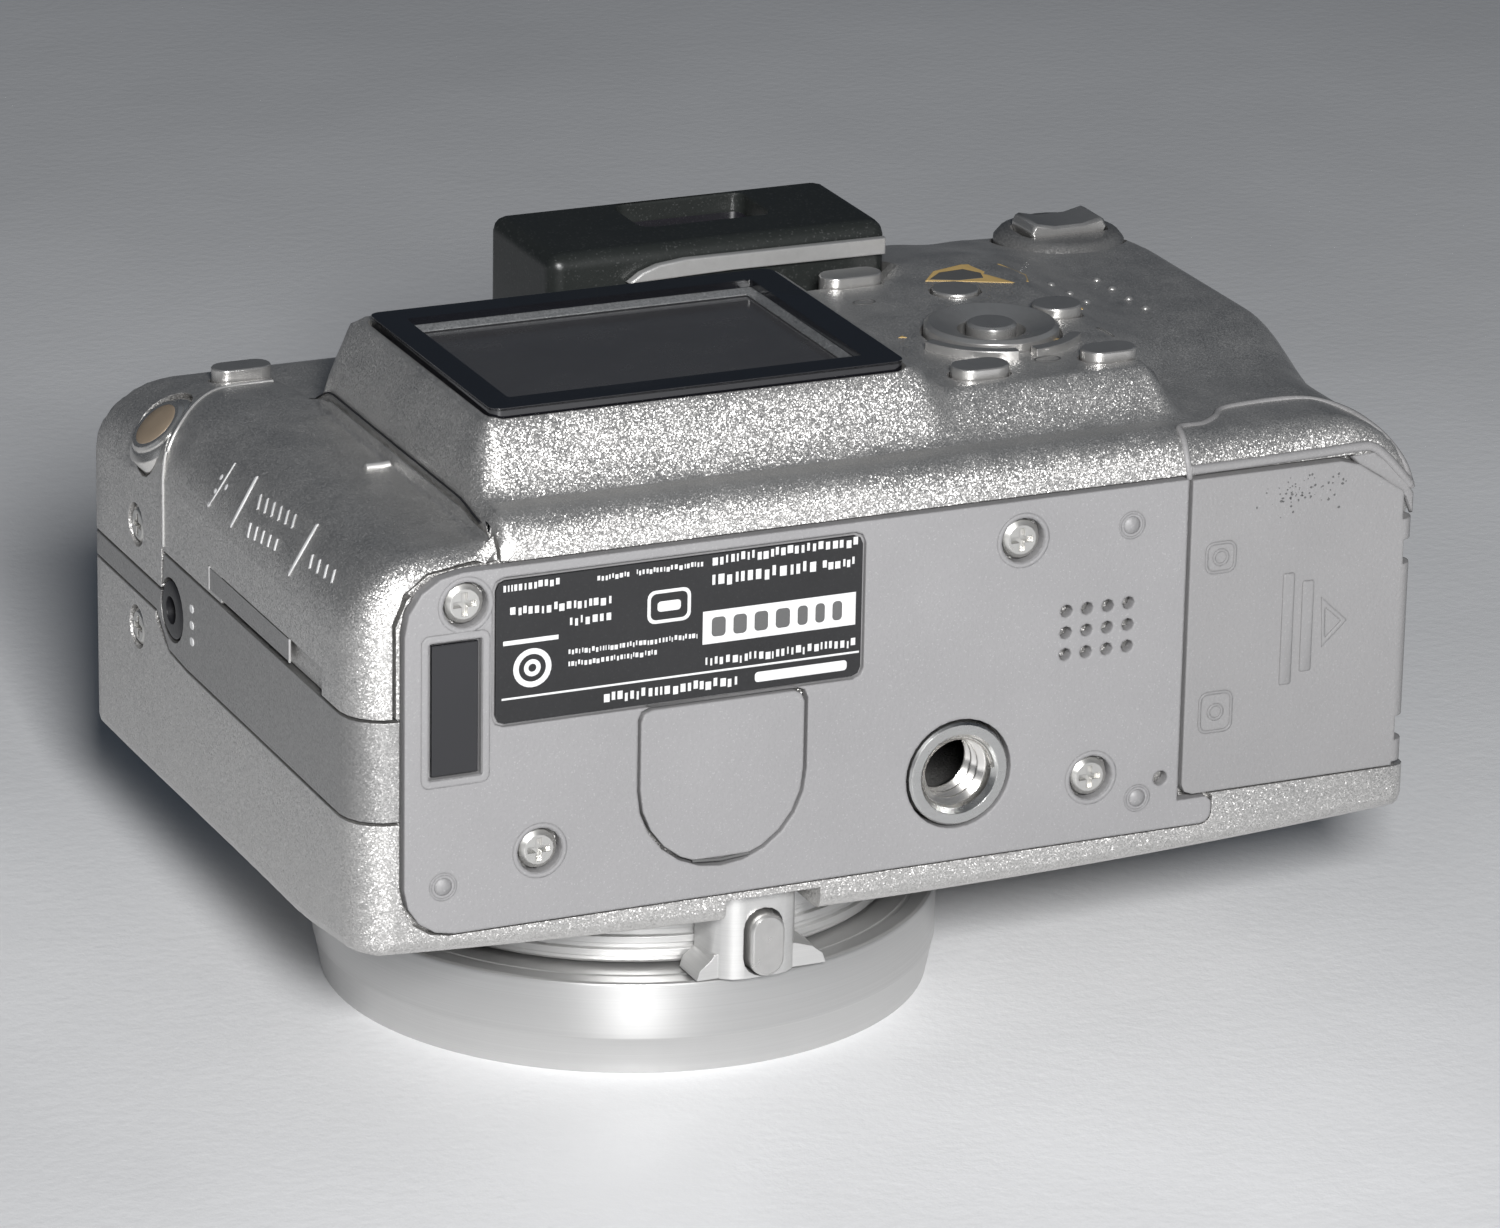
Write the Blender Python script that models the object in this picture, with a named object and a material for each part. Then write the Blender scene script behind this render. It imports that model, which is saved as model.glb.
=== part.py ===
"""Compact digital camera, standing on its lens ring with the screen side up.

Sizes below are in millimetres and MM turns them into metres.
+X is the side of the battery door, +Y the camera's top, -Y its base plate,
+Z leaves through the back (screen side) and -Z through the lens.
"""
import math

import bmesh
import bpy
from mathutils import Matrix, Vector

MM = 0.001
GAP = 0.3
REACH = 30.0

# Casing
HALF_WIDTH = 49.0
BASE_Y = 0.4
TOP_Y = 66.3
FRONT_Z = 15.1
FRONT_CROWN = 0.5
FRONT_BASE_LIFT = 1.2
FRONT_TOP_DROP = 0.4
FRONT_EDGE = 1.2
LEFT_Z = 51.0
REAR_Z = 53.5
PLATEAU_Z = 59.3
CONTROL_Z = 57.0
THUMB_Z = 54.5
NORTH_Z = 49.2
WRAP_Z = 52.8
COVER_EDGE_X = -36.4
SLOPE_LOW_Y = 5.1
SLOPE_HIGH_Y = 9.6
LEFT_EDGE = 7.0
BASE_EDGE = 3.4
RIGHT_EDGE = 4.2
DOOR_EDGE = 8.0
TOP_EDGE = 9.0
CORNER_BASE_LEFT = 3.8
CORNER_BASE_RIGHT = 1.2
CORNER_TOP = 2.2
WALL = 2.2
FLOOR_Y = 4.2
CAVITY_REAR_Z = 47.6
CAVITY_STEP_Z = 42.6
CAVITY_STEP_Y = 57.8
SEAM_LOW_Z = 31.3
SEAM_HIGH_Z = 34.0

# Base plate and what it carries
PLATE_THICK = 1.2
PLATE_LEFT = -44.8
PLATE_RIGHT = 26.4
PLATE_LOW_Z = 18.2
PLATE_HIGH_Z = 49.7
PLATE_TAIL_X = 29.7
PLATE_TAIL_Z = 20.6
PLATE_CORNER = 4.4
SCREW_SPOTS = ((-39.5, 46.9), (10.9, 46.2), (-32.8, 24.5), (18.0, 23.9))
SCREW_HEAD_R = 1.7
SCREW_HEAD_T = 0.9
SCREW_SHANK_R = 0.8
SCREW_LONG = 5.0
CROSS_LONG = 2.0
CROSS_WIDE = 0.5
CROSS_DEEP = 0.5
TRIPOD_X = 5.48
TRIPOD_Z = 25.98
TRIPOD_FLANGE_R = 4.62
TRIPOD_BORE_R = 3.2
TRIPOD_DEEP = 5.5
CAP_LEFT = -23.8
CAP_RIGHT = -8.95
CAP_TOP_Z = 35.5
LABEL_LEFT = -36.84
LABEL_RIGHT = -3.93
LABEL_LOW_Z = 36.12
LABEL_HIGH_Z = 48.57
LABEL_T = 0.25
PAD_LEFT = -42.41
PAD_RIGHT = -38.34
PAD_LOW_Z = 32.28
PAD_HIGH_Z = 43.64
SPEAKER_X = 15.19
SPEAKER_Z = 35.43
SPEAKER_PITCH = 1.95
SPEAKER_HOLE_R = 0.6
SPEAKER_COLUMNS = 4
SPEAKER_ROWS = 3
RESET_X = 24.7
RESET_Z = 22.9
RESET_R = 0.7

# Battery door
DOOR_LEFT = 26.8
DOOR_RIGHT = 48.5
DOOR_LOW_Z = 21.0
DOOR_HIGH_Z = 49.6
DOOR_CUT_X = 42.8
DOOR_CUT_Z = 43.6
DOOR_THICK = 1.5
DOOR_TRAVEL = 1.2
DOOR_PIN_R = 0.4
DOOR_KNUCKLE_R = 1.25
DOOR_SKIN = 0.45
DOOR_BARREL_LOW = 25.2
DOOR_BARREL_HIGH = 39.8
DOOR_EAR = 1.3
DOOR_EAR_R = 0.7
SLIDER_WIDE = 3.0
SLIDER_T = 0.6

# Connector cover and lug
COVER_LOW_Z = 37.6
COVER_FAR_Y = 46.8
COVER_REAR_FAR_Y = 51.8
COVER_BASE_X = -45.7
COVER_SHELL = 1.7
COVER_HINGE_Z = 52.4
SOCKET_DEEP = 3.4
LUG_AT = (-46.8, 52.0, 46.3)
LUG_TILT = math.radians(42.0)
LUG_R = 3.7
LUG_FACE_R = 2.6
LUG_HIGH = 1.1
SIDE_SCREW_Y = 53.8
SIDE_SCREW_ZS = (37.7, 28.2)
JACK_Y = 44.6
JACK_Z = 32.8
JACK_R = 2.6

# Band
BAND_LOW_Z = 28.6
BAND_HIGH_Z = 37.3
BAND_WIDE_Y = 48.6
BAND_BOSS = 0.2

# Screen and viewfinder
BEZEL_LEFT = -33.4
BEZEL_RIGHT = 4.2
BEZEL_LOW_Y = 9.7
BEZEL_HIGH_Y = 38.0
BEZEL_TOP_Z = 60.0
BEZEL_T = 1.0
SCREEN_LEFT = -31.0
SCREEN_RIGHT = 1.0
SCREEN_LOW_Y = 12.2
SCREEN_HIGH_Y = 35.3
SCREEN_DEEP = 4.0
FINDER_LEFT = -13.2
FINDER_RIGHT = 19.3
FINDER_LOW_Y = 46.0
FINDER_HIGH_Y = 60.6
FINDER_TOP_Z = 60.4
FINDER_FLOOR_Z = 48.5
FINDER_ROUND = 1.4
EYE_LEFT = -2.0
EYE_RIGHT = 10.6
EYE_LOW_Y = 51.8
EYE_HIGH_Y = 59.0
EYE_DEEP = 3.0

# Rear controls: centre x, centre y, half length, half width, surface height
REAR_BUTTONS = {
    "display_button": (13.0, 40.2, 2.9, 1.4, CONTROL_Z),
    "lock_button": (20.6, 34.6, 2.1, 2.1, CONTROL_Z),
    "focus_button": (26.2, 25.8, 2.2, 1.9, CONTROL_Z),
    "menu_button": (12.4, 12.4, 2.6, 1.6, CONTROL_Z),
    "review_button": (24.8, 12.8, 2.5, 1.5, CONTROL_Z),
    "flash_button": (-38.8, 54.8, 2.7, 1.3, 50.0),
}
BUTTON_PROUD = 0.9
BUTTON_DEEP = 1.4
BUTTON_STROKE = 0.5
PAD_AT = (18.4, 22.6)
PAD_OUTER_R = 5.9
PAD_INNER_R = 3.0
PAD_BUTTON_R = 2.2
ROCKER_AT = (40.6, 54.6)
ROCKER_LONG = 8.0
ROCKER_WIDE = 4.4
ROCKER_TOP_Z = 56.35
ROCKER_COLLAR_R = 6.0
ROCKER_COLLAR_Z = 55.1
ROCKER_COLLAR_FOOT_Z = 51.8

# Top deck
DIAL_AT = (25.0, 33.4)
DIAL_R = 8.0
DIAL_HIGH = 3.0
DIAL_SUNK = 1.2
DIAL_TEETH = 24
SHUTTER_AT = (40.5, 26.5)
SHUTTER_R = 4.2
SHUTTER_PROUD = 1.4
SHUTTER_STROKE = 0.9
POWER_AT = (33.4, 20.4)
POWER_R = 2.2
SHOE_AT = (3.0, 34.0)
SHOE_WIDE = 21.6
SHOE_LONG = 18.0
SHOE_SLOT_WIDE = 18.8
SHOE_SLOT_HIGH = 1.9
SHOE_MOUTH_WIDE = 13.0
SHOE_PLATE = 0.8
SHOE_RAIL = 0.7
FLASH_LEFT = -38.0
FLASH_RIGHT = -13.0
FLASH_LOW_Z = 17.6
FLASH_HIGH_Z = 30.2
FLASH_HIGH = 3.6
FLASH_SWING = 0.7

# Front
GRIP_LEFT = 36.5
GRIP_RIGHT = 45.5
GRIP_LOW_Y = 24.0
GRIP_HIGH_Y = 58.0
GRIP_HIGH = 3.0
FRONT_GLASS = ((5.5, 52.5), (12.5, 58.5))
LAMP_AT = (24.0, 52.0)
LAMP_R = 2.4
LENS_X = -11.63
LENS_Y = 31.7
RING_HIGH = 8.5
RING_R = 27.5
RING_FOOT_R = 26.8
RING_CHAMFER = 3.3
RING_BORE_R = 22.6
RING_LIP_R = 24.2
RING_TURN_GAP = 0.3
FLANGE_R = 23.7
SLEEVE_R = 22.3
SLEEVE_BORE_R = 20.3
SLEEVE_REAR_Z = 42.0
OUTER_R = 20.0
OUTER_BORE_R = 17.6
OUTER_FRONT_Z = 9.6
OUTER_LONG = 30.0
INNER_R = 17.3
INNER_FRONT_Z = 8.9
INNER_LONG = 20.0
LENS_GLASS_R = 12.1
GLASS_T = 3.4
POST_X = -11.3
POST_HALF = 4.05
POST_FRONT_Y = 2.9
POST_TOP_Z = 17.0
POST_FOOT_HALF = 6.0
POST_FOOT_SHIFT = 0.6
POST_FOOT_HIGH = 2.2
POST_FOOT_Y = 3.9
RELEASE_HALF = 1.55
RELEASE_LOW_Z = 9.2
RELEASE_HIGH_Z = 14.8
RELEASE_PROUD = 1.0
RELEASE_STROKE = 0.8

# Inside
BOARD_Z = 43.2
BOARD_T = 1.2
CHASSIS_Z = 45.6
CHASSIS_T = 1.0
BATTERY_BOX = ((31.9, 5.0, 23.6), (43.0, 48.0, 46.6))
CARD_BOX = ((28.3, 5.0, 24.2), (31.1, 55.0, 45.6))
SPEAKER_R = 5.4
SPEAKER_T = 2.2

SHELL_XS = (
    -49.0, -48.8, -48.3, -47.4, -46.0, -44.2, -42.0, -39.0, -36.6, -36.2, -35.6, -34.9,
    -34.2, -26.0, -12.3, 0.0, 5.2, 6.4, 7.8, 13.0, 16.0, 19.5, 26.6, 27.6, 28.8, 30.0,
    32.0, 35.0, 39.0, 42.0, 44.0, 45.8, 47.2, 48.3, 48.8, 49.0,
)
SHELL_YS = (
    0.0, 0.2, 0.7, 1.4, 2.3, 3.4, 4.7, 5.6, 7.0, 8.3, 9.2, 13.0, 18.0, 24.0, 30.0, 38.5,
    40.5, 43.0, 46.0, 50.0, 54.0, 57.5, 60.0, 62.2, 64.0, 65.2, 65.9,
)


def clear_scene():
    for thing in list(bpy.data.objects):
        bpy.data.objects.remove(thing, do_unlink=True)


def make_material(name, colour, metal=0.0, rough=0.5):
    material = bpy.data.materials.new(name)
    material.use_nodes = True
    shader = material.node_tree.nodes["Principled BSDF"]
    shader.inputs["Base Color"].default_value = (*colour, 1.0)
    shader.inputs["Metallic"].default_value = metal
    shader.inputs["Roughness"].default_value = rough
    return material


def dressed(thing, colour, metal=0.0, rough=0.5):
    thing.data.materials.append(make_material(thing.name + "_finish", colour, metal, rough))
    return thing


def placed(name, mesh, at=(0.0, 0.0, 0.0)):
    thing = bpy.data.objects.new(name, mesh)
    thing.location = Vector(at) * MM
    bpy.context.scene.collection.objects.link(thing)
    return thing


def mesh_from(name, points, faces, at=(0.0, 0.0, 0.0), smooth=False):
    """Points in millimetres, in the shared frame; the object's origin goes to at."""
    shape = bmesh.new()
    start = Vector(at)
    verts = [shape.verts.new((Vector(p) - start) * MM) for p in points]
    for face in faces:
        made = shape.faces.new([verts[i] for i in face])
        made.smooth = smooth
    bmesh.ops.recalc_face_normals(shape, faces=shape.faces)
    mesh = bpy.data.meshes.new(name)
    shape.to_mesh(mesh)
    shape.free()
    return placed(name, mesh, at)


def box(name, low, high, at=None):
    (x0, y0, z0), (x1, y1, z1) = low, high
    middle = tuple((a + b) / 2 for a, b in zip(low, high)) if at is None else at
    points = [(x, y, z) for x in (x0, x1) for y in (y0, y1) for z in (z0, z1)]
    faces = [(0, 1, 3, 2), (4, 6, 7, 5), (0, 4, 5, 1), (2, 3, 7, 6), (0, 2, 6, 4), (1, 5, 7, 3)]
    return mesh_from(name, points, faces, middle)


def lifted(axis, flat, depth):
    """A point of an outline, put into space at a depth along the axis."""
    a, b = flat
    if axis == "X":
        return (depth, a, b)
    if axis == "Y":
        return (a, depth, b)
    return (a, b, depth)


def prism(name, outline, axis, low, high, at=None, smooth=False):
    """An outline extruded along one axis. Outline order: (y,z), (x,z) or (x,y)."""
    count = len(outline)
    points = [lifted(axis, p, low) for p in outline] + [lifted(axis, p, high) for p in outline]
    faces = [tuple(range(count)), tuple(range(2 * count - 1, count - 1, -1))]
    for i in range(count):
        j = (i + 1) % count
        faces.append((i, j, count + j, count + i))
    if at is None:
        across = [sum(p[k] for p in outline) / count for k in (0, 1)]
        at = lifted(axis, across, (low + high) / 2)
    thing = mesh_from(name, points, faces, at)
    if smooth:
        smooth_sides(thing)
    return thing


def smooth_sides(thing, limit=40.0):
    thing.data.shade_smooth()
    thing.data.set_sharp_from_angle(angle=math.radians(limit))
    return thing


def circle(centre, radius, count, start=0.0):
    turn = 2 * math.pi / count
    return [
        (centre[0] + radius * math.cos(start + i * turn), centre[1] + radius * math.sin(start + i * turn))
        for i in range(count)
    ]


def rounded(low, high, radii, steps=4):
    """A rectangle with its own radius at each corner: low-low, high-low, high-high, low-high."""
    (x0, y0), (x1, y1) = low, high
    turns = ((x0, y0, 1, 1, 180), (x1, y0, -1, 1, 270), (x1, y1, -1, -1, 0), (x0, y1, 1, -1, 90))
    outline = []
    for (x, y, sx, sy, start), radius in zip(turns, radii):
        if radius <= 0:
            outline.append((x, y))
            continue
        middle = (x + sx * radius, y + sy * radius)
        for i in range(steps + 1):
            angle = math.radians(start + 90.0 * i / steps)
            outline.append((middle[0] + radius * math.cos(angle), middle[1] + radius * math.sin(angle)))
    return outline


def turned(name, profile, centre, axis="Z", count=32, at=None):
    """A closed profile of (radius, height) turned about an axis through centre."""
    rings = []
    points = []
    for radius, height in profile:
        if radius < 1e-6:
            rings.append([len(points)])
            points.append(lifted(axis, centre, height))
            continue
        rings.append(list(range(len(points), len(points) + count)))
        points += [lifted(axis, p, height) for p in circle(centre, radius, count)]
    faces = []
    for first, second in zip(rings, rings[1:] + rings[:1]):
        for i in range(count):
            j = (i + 1) % count
            corners = [first[i % len(first)], first[j % len(first)]]
            corners += [second[j % len(second)], second[i % len(second)]]
            unique = list(dict.fromkeys(corners))
            if len(unique) > 2:
                faces.append(unique)
    heights = [h for _, h in profile]
    if at is None:
        at = lifted(axis, centre, (min(heights) + max(heights)) / 2)
    return smooth_sides(mesh_from(name, points, faces, at))


def helper(thing):
    thing.hide_render = True
    thing.display_type = "WIRE"
    return thing


def boolean(thing, other, operation):
    modifier = thing.modifiers.new(operation.lower(), "BOOLEAN")
    modifier.operation = operation
    modifier.solver = "EXACT"
    modifier.object = helper(other)
    return thing


def cut(thing, other):
    return boolean(thing, other, "DIFFERENCE")


def keep(thing, other):
    return boolean(thing, other, "INTERSECT")


def join(thing, other):
    return boolean(thing, other, "UNION")


def softened(thing, width, steps=2, angle=35.0):
    modifier = thing.modifiers.new("edges", "BEVEL")
    modifier.width = width * MM
    modifier.segments = steps
    modifier.limit_method = "ANGLE"
    modifier.angle_limit = math.radians(angle)
    return thing


def ease(low, high, value):
    share = min(1.0, max(0.0, (value - low) / (high - low)))
    return share * share * (3 - 2 * share)


def ramp(low, high, value):
    """A straight rise with short curved ends."""
    share = min(1.0, max(0.0, (value - low) / (high - low)))
    return 0.55 * share + 0.45 * share * share * (3 - 2 * share)


def rear_height(x, y):
    """Height of the back before its outer edges are rounded."""
    left = ease(COVER_EDGE_X - 0.5, COVER_EDGE_X + 1.0, x)
    ground = LEFT_Z + (REAR_Z - LEFT_Z) * left
    wrap = ease(25.0, 31.0, x)
    ground += (WRAP_Z - REAR_Z) * wrap
    north = ease(39.0, 46.0, y) * (1.0 - ease(14.0, 22.0, x))
    ground += (NORTH_Z - REAR_Z) * north * left
    ground += (NORTH_Z - LEFT_Z) * ease(44.0, 60.0, y) * (1.0 - left)
    thumb = ease(27.0, 33.0, x) * ease(14.0, 30.0, y)
    ground += (THUMB_Z - WRAP_Z) * thumb - 1.2 * ease(48.0, 62.0, y) * thumb
    peak = PLATEAU_Z + (CONTROL_Z - PLATEAU_Z) * ease(5.0, 8.0, x)
    south = ramp(SLOPE_LOW_Y, SLOPE_HIGH_Y, y)
    west = ramp(COVER_EDGE_X - 0.2, COVER_EDGE_X + 2.4, x)
    far = 1.0 - ease(39.0, 44.5, y) * (1.0 - ease(13.0, 19.5, x))
    falling = 1.0 - ease(41.0, 64.0, y) * ease(13.0, 19.5, x)
    east = 1.0 - ease(26.8, 29.8 + 7.0 * ease(13.0, 26.0, y), x)
    return ground + max(0.0, peak - ground) * south * west * far * falling * east


def front_height(x, y):
    """Height of the lens side: crowned, and higher towards the base at both ends."""
    bow = (x / HALF_WIDTH) ** 2
    lift = FRONT_BASE_LIFT * bow * (1.0 - ease(0.0, 16.0, y))
    return FRONT_Z + FRONT_CROWN * bow + lift - FRONT_TOP_DROP * bow * ease(20.0, 62.0, y)


def edge_drop(distance, radius):
    if distance >= radius:
        return 0.0
    inward = radius - max(0.0, distance)
    return radius - math.sqrt(max(0.0, radius * radius - inward * inward))


def corner_reach(y):
    """How far the outline is drawn in at the left and right at this height above the base."""
    left = right = 0.0
    low = y
    high = TOP_Y - BASE_Y - y
    if low < CORNER_BASE_LEFT:
        left = edge_drop(low, CORNER_BASE_LEFT)
    if low < CORNER_BASE_RIGHT:
        right = edge_drop(low, CORNER_BASE_RIGHT)
    if high < CORNER_TOP:
        left = right = edge_drop(high, CORNER_TOP)
    return left, right


def casing(name):
    """The whole outer body as one closed solid, from the lens side to the screen side."""
    points = []
    columns = len(SHELL_XS)
    rows = len(SHELL_YS)
    for side in (0, 1):
        for step in SHELL_YS:
            left, right = corner_reach(step)
            y = BASE_Y + step
            for raw in SHELL_XS:
                share = (raw + HALF_WIDTH) / (2 * HALF_WIDTH)
                x = -HALF_WIDTH + left + share * (2 * HALF_WIDTH - left - right)
                to_left = x + HALF_WIDTH - left
                to_right = HALF_WIDTH - right - x
                to_base = y - BASE_Y
                to_top = TOP_Y - y
                if side == 0:
                    right_edge = DOOR_EDGE + (RIGHT_EDGE - DOOR_EDGE) * ease(16.0, 30.0, y)
                    drops = (
                        edge_drop(to_left, LEFT_EDGE),
                        edge_drop(to_right, right_edge),
                        edge_drop(to_base, BASE_EDGE),
                        edge_drop(to_top, TOP_EDGE),
                    )
                    z = rear_height(x, y) - math.sqrt(sum(d * d for d in drops))
                else:
                    near = min(to_left, to_right, to_base, to_top)
                    z = front_height(x, y) + edge_drop(near, FRONT_EDGE)
                points.append((x, y, z))
    faces = []
    half = rows * columns
    for row in range(rows - 1):
        for column in range(columns - 1):
            a = row * columns + column
            for corners in ((a, a + 1, a + 1 + columns), (a, a + 1 + columns, a + columns)):
                faces.append(corners)
                faces.append(tuple(half + i for i in reversed(corners)))
    rim = [i for i in range(columns)]
    rim += [row * columns + columns - 1 for row in range(1, rows)]
    rim += [(rows - 1) * columns + i for i in range(columns - 2, -1, -1)]
    rim += [row * columns for row in range(rows - 2, 0, -1)]
    for i, first in enumerate(rim):
        second = rim[(i + 1) % len(rim)]
        faces.append((first, half + first, half + second))
        faces.append((first, half + second, second))
    return smooth_sides(mesh_from(name, points, faces), 50.0)


def slab(name, low_z, high_z):
    return box(name, (-90, -REACH, low_z), (90, 110, high_z))


def cavity(name):
    """The hollow that every shell shares."""
    left = -HALF_WIDTH + WALL
    right = HALF_WIDTH - WALL
    top = TOP_Y - WALL
    hollow = prism(name, rounded((left, FLOOR_Y), (right, top), (2.0, 1.0, 1.0, 1.0), 2), "Z",
                   FRONT_Z + FRONT_CROWN + 2.2, CAVITY_STEP_Z)
    upper = rounded((left + 1.5, FLOOR_Y), (right - 1.5, CAVITY_STEP_Y), (1.0,) * 4, 2)
    return join(hollow, prism(name + "_upper", upper, "Z", CAVITY_STEP_Z - 1.0, CAVITY_REAR_Z))


def plate_outline(grow=0.0):
    """Outline of the base plate in x and z, grown outwards by the amount given."""
    left = PLATE_LEFT - grow
    right = PLATE_RIGHT + grow
    low = PLATE_LOW_Z - grow
    high = PLATE_HIGH_Z + grow
    tail_x = PLATE_TAIL_X + grow
    tail_z = PLATE_TAIL_Z + grow
    outline = rounded((left, low), (tail_x, high), (PLATE_CORNER, 1.0, 0.0, PLATE_CORNER + 0.6))
    outline = [p for p in outline if p != (tail_x, high)]
    cut_at = max(i for i, p in enumerate(outline) if p[1] < low + 2.0 and p[0] > 0)
    tail = [(tail_x, tail_z - 0.5), (tail_x - 0.5, tail_z), (right, tail_z), (right, high)]
    return outline[: cut_at + 1] + tail + outline[cut_at + 1 :]


def door_outline(grow=0.0):
    """Outline of the battery door in x and z, with its cut corner."""
    left = DOOR_LEFT - grow
    right = DOOR_RIGHT + grow
    low = DOOR_LOW_Z - grow
    high = DOOR_HIGH_Z + grow
    lean = grow * 0.4
    return [
        (left, low + 1.0), (left + 0.3, low + 0.3), (left + 1.0, low),
        (right - 1.3, low), (right - 0.4, low + 0.4), (right, low + 1.3),
        (right, DOOR_CUT_Z + lean), (right - 0.7, DOOR_CUT_Z + 2.2 + lean),
        (DOOR_CUT_X + lean, high - 0.5), (DOOR_CUT_X - 1.8 + lean, high), (left, high),
    ]


def cap_outline(grow=0.0):
    """The service cap: straight at its top, half round at its foot."""
    middle = (CAP_LEFT + CAP_RIGHT) / 2
    radius = (CAP_RIGHT - CAP_LEFT) / 2 + grow
    foot_z = CAP_TOP_Z - 7.0
    foot = [
        (middle + radius * math.cos(math.radians(a)), foot_z + radius * math.sin(math.radians(a)))
        for a in range(180, 361, 15)
    ]
    top = CAP_TOP_Z + grow
    right = middle + radius
    left = middle - radius
    return foot + [(right, top - 1.0), (right - 0.3, top - 0.3), (right - 1.0, top)] + [
        (left + 1.0, top), (left + 0.3, top - 0.3), (left, top - 1.0),
    ]


def cover_region(name, grow=0.0):
    """The space of the connector cover: its outline seen from the side, kept left of the seam."""
    low = COVER_LOW_Z - grow
    far = COVER_FAR_Y + grow
    rear_far = COVER_REAR_FAR_Y + grow
    side = [
        (-REACH, low), (far, low), (far, 43.8), (far + 0.4, 46.2), (far + 1.3, 48.2),
        (far + 2.6, 49.4), (rear_far - 0.8, 50.0), (rear_far, 50.4), (rear_far, 90.0), (-REACH, 90.0),
    ]
    region = prism(name, side, "X", -90.0, COVER_EDGE_X + grow)
    return region


def base_side_cut(name, grow=0.0):
    """What the cover leaves to the base plate's corner: everything right of a sloping line."""
    edge = COVER_BASE_X + grow
    outline = [
        (edge, COVER_LOW_Z - 8.0), (edge, 45.8 - grow), (edge + 1.0, 48.0 - grow), (edge + 3.2, 49.6 - grow),
        (COVER_EDGE_X - 2.4, 50.0 - grow), (COVER_EDGE_X + 3.0, 50.3 - grow), (COVER_EDGE_X + 3.0, COVER_LOW_Z - 8.0),
    ]
    return prism(name, outline, "Y", -REACH, 3.3 - grow)


def inner_cover(name):
    """The hollow under the connector cover, following the rounded corner."""
    outline = [
        (-HALF_WIDTH + COVER_SHELL, COVER_LOW_Z - 20.0), (-HALF_WIDTH + COVER_SHELL, 43.2),
        (-46.2, 45.8), (-44.6, 47.6), (-42.4, 48.8), (-40.0, LEFT_Z - COVER_SHELL),
        (COVER_EDGE_X + 6.0, LEFT_Z - COVER_SHELL), (COVER_EDGE_X + 6.0, COVER_LOW_Z - 20.0),
    ]
    return prism(name, outline, "Y", 2.6, COVER_REAR_FAR_Y - 1.6)


def drill(name, centre, radius, axis, low, high, count=16):
    return prism(name, circle(centre, radius, count), axis, low, high)


def front_shell():
    shell = dressed(casing("front_shell"), (0.53, 0.51, 0.48), 0.7, 0.35)
    keep(shell, slab("front_shell_span", -10.0, SEAM_LOW_Z))
    cut(shell, cavity("front_shell_hollow"))
    cut(shell, prism("front_plate_seat", plate_outline(GAP), "Y", -REACH, PLATE_THICK + GAP))
    cut(shell, door_seat("front_door_seat"))
    cut(shell, door_side("front_door_side"))
    cut(shell, slider_track("front_slider_seat"))
    cut(shell, bay_opening("front_bay"))
    cut(shell, drill("front_lens_hole", (LENS_X, LENS_Y), SLEEVE_R + GAP, "Z", -REACH, 40.0, 48))
    cut(shell, band_space("front_band_space"))
    cut(shell, box("front_post_notch", (POST_X - POST_HALF - GAP, -REACH, -REACH),
                   (POST_X + POST_HALF + GAP, 7.7 + GAP, POST_TOP_Z + GAP)))
    for i, (x, z) in enumerate(SCREW_SPOTS[2:]):
        cut(shell, drill("front_screw_hole_%d" % i, (x, z), SCREW_SHANK_R + GAP, "Y", -5.0, 10.0, 12))
    cut(shell, drill("front_tripod_hole", (TRIPOD_X, TRIPOD_Z), TRIPOD_FLANGE_R + GAP, "Y", -5, 12, 24))
    cut(shell, box("front_flash_seat", (FLASH_LEFT - GAP, TOP_Y - FLASH_HIGH - GAP, FLASH_LOW_Z - FLASH_SWING),
                   (FLASH_RIGHT + GAP, 90.0, FLASH_HIGH_Z + GAP)))
    cut(shell, dial_seat("front_dial_seat"))
    cut(shell, drill("front_shutter_seat", (SHUTTER_AT), SHUTTER_R + GAP, "Y", TOP_Y - 5.0, 90.0, 24))
    cut(shell, drill("front_power_seat", (POWER_AT), POWER_R + GAP, "Y", TOP_Y - 5.0, 90.0, 16))
    side = SIDE_SCREW_ZS[1]
    cut(shell, drill("front_side_screw_seat", (SIDE_SCREW_Y, side), SCREW_HEAD_R + GAP, "X", -60, -47.7, 16))
    cut(shell, drill("front_side_screw_hole", (SIDE_SCREW_Y, side), SCREW_SHANK_R + GAP, "X", -60, -40, 12))
    low, high = FRONT_GLASS
    grown = rounded((low[0] - GAP, low[1] - GAP), (high[0] + GAP, high[1] + GAP), (1.0,) * 4, 2)
    cut(shell, prism("front_glass_seat", grown, "Z", -REACH, FRONT_Z + 1.6))
    cut(shell, drill("front_lamp_seat", LAMP_AT, LAMP_R + GAP, "Z", -REACH, FRONT_Z + 1.6, 20))
    return shell


def bay_opening(name):
    return box(name, (BATTERY_BOX[0][0] - 4.4, -REACH, BATTERY_BOX[0][2] - 0.9),
               (BATTERY_BOX[1][0] + 0.6, FLOOR_Y + 1.0, BATTERY_BOX[1][2] + 0.6))


def pin_axis():
    return DOOR_RIGHT - DOOR_KNUCKLE_R, DOOR_KNUCKLE_R


def door_seat(name):
    """The door's own space, run on to the right by its travel."""
    outline = [(x + DOOR_TRAVEL if x > PLATE_TAIL_X else x, z) for x, z in door_outline(GAP)]
    return prism(name, outline, "Y", -REACH, DOOR_THICK + GAP)


def door_side(name):
    """Room beside and under the door's thick hinge edge, open to the right."""
    x, y = pin_axis()
    left = x - DOOR_KNUCKLE_R - 3 * GAP
    return box(name, (left, -REACH, DOOR_LOW_Z - GAP), (REACH * 2, y + DOOR_KNUCKLE_R + GAP, DOOR_CUT_Z + GAP))


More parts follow.
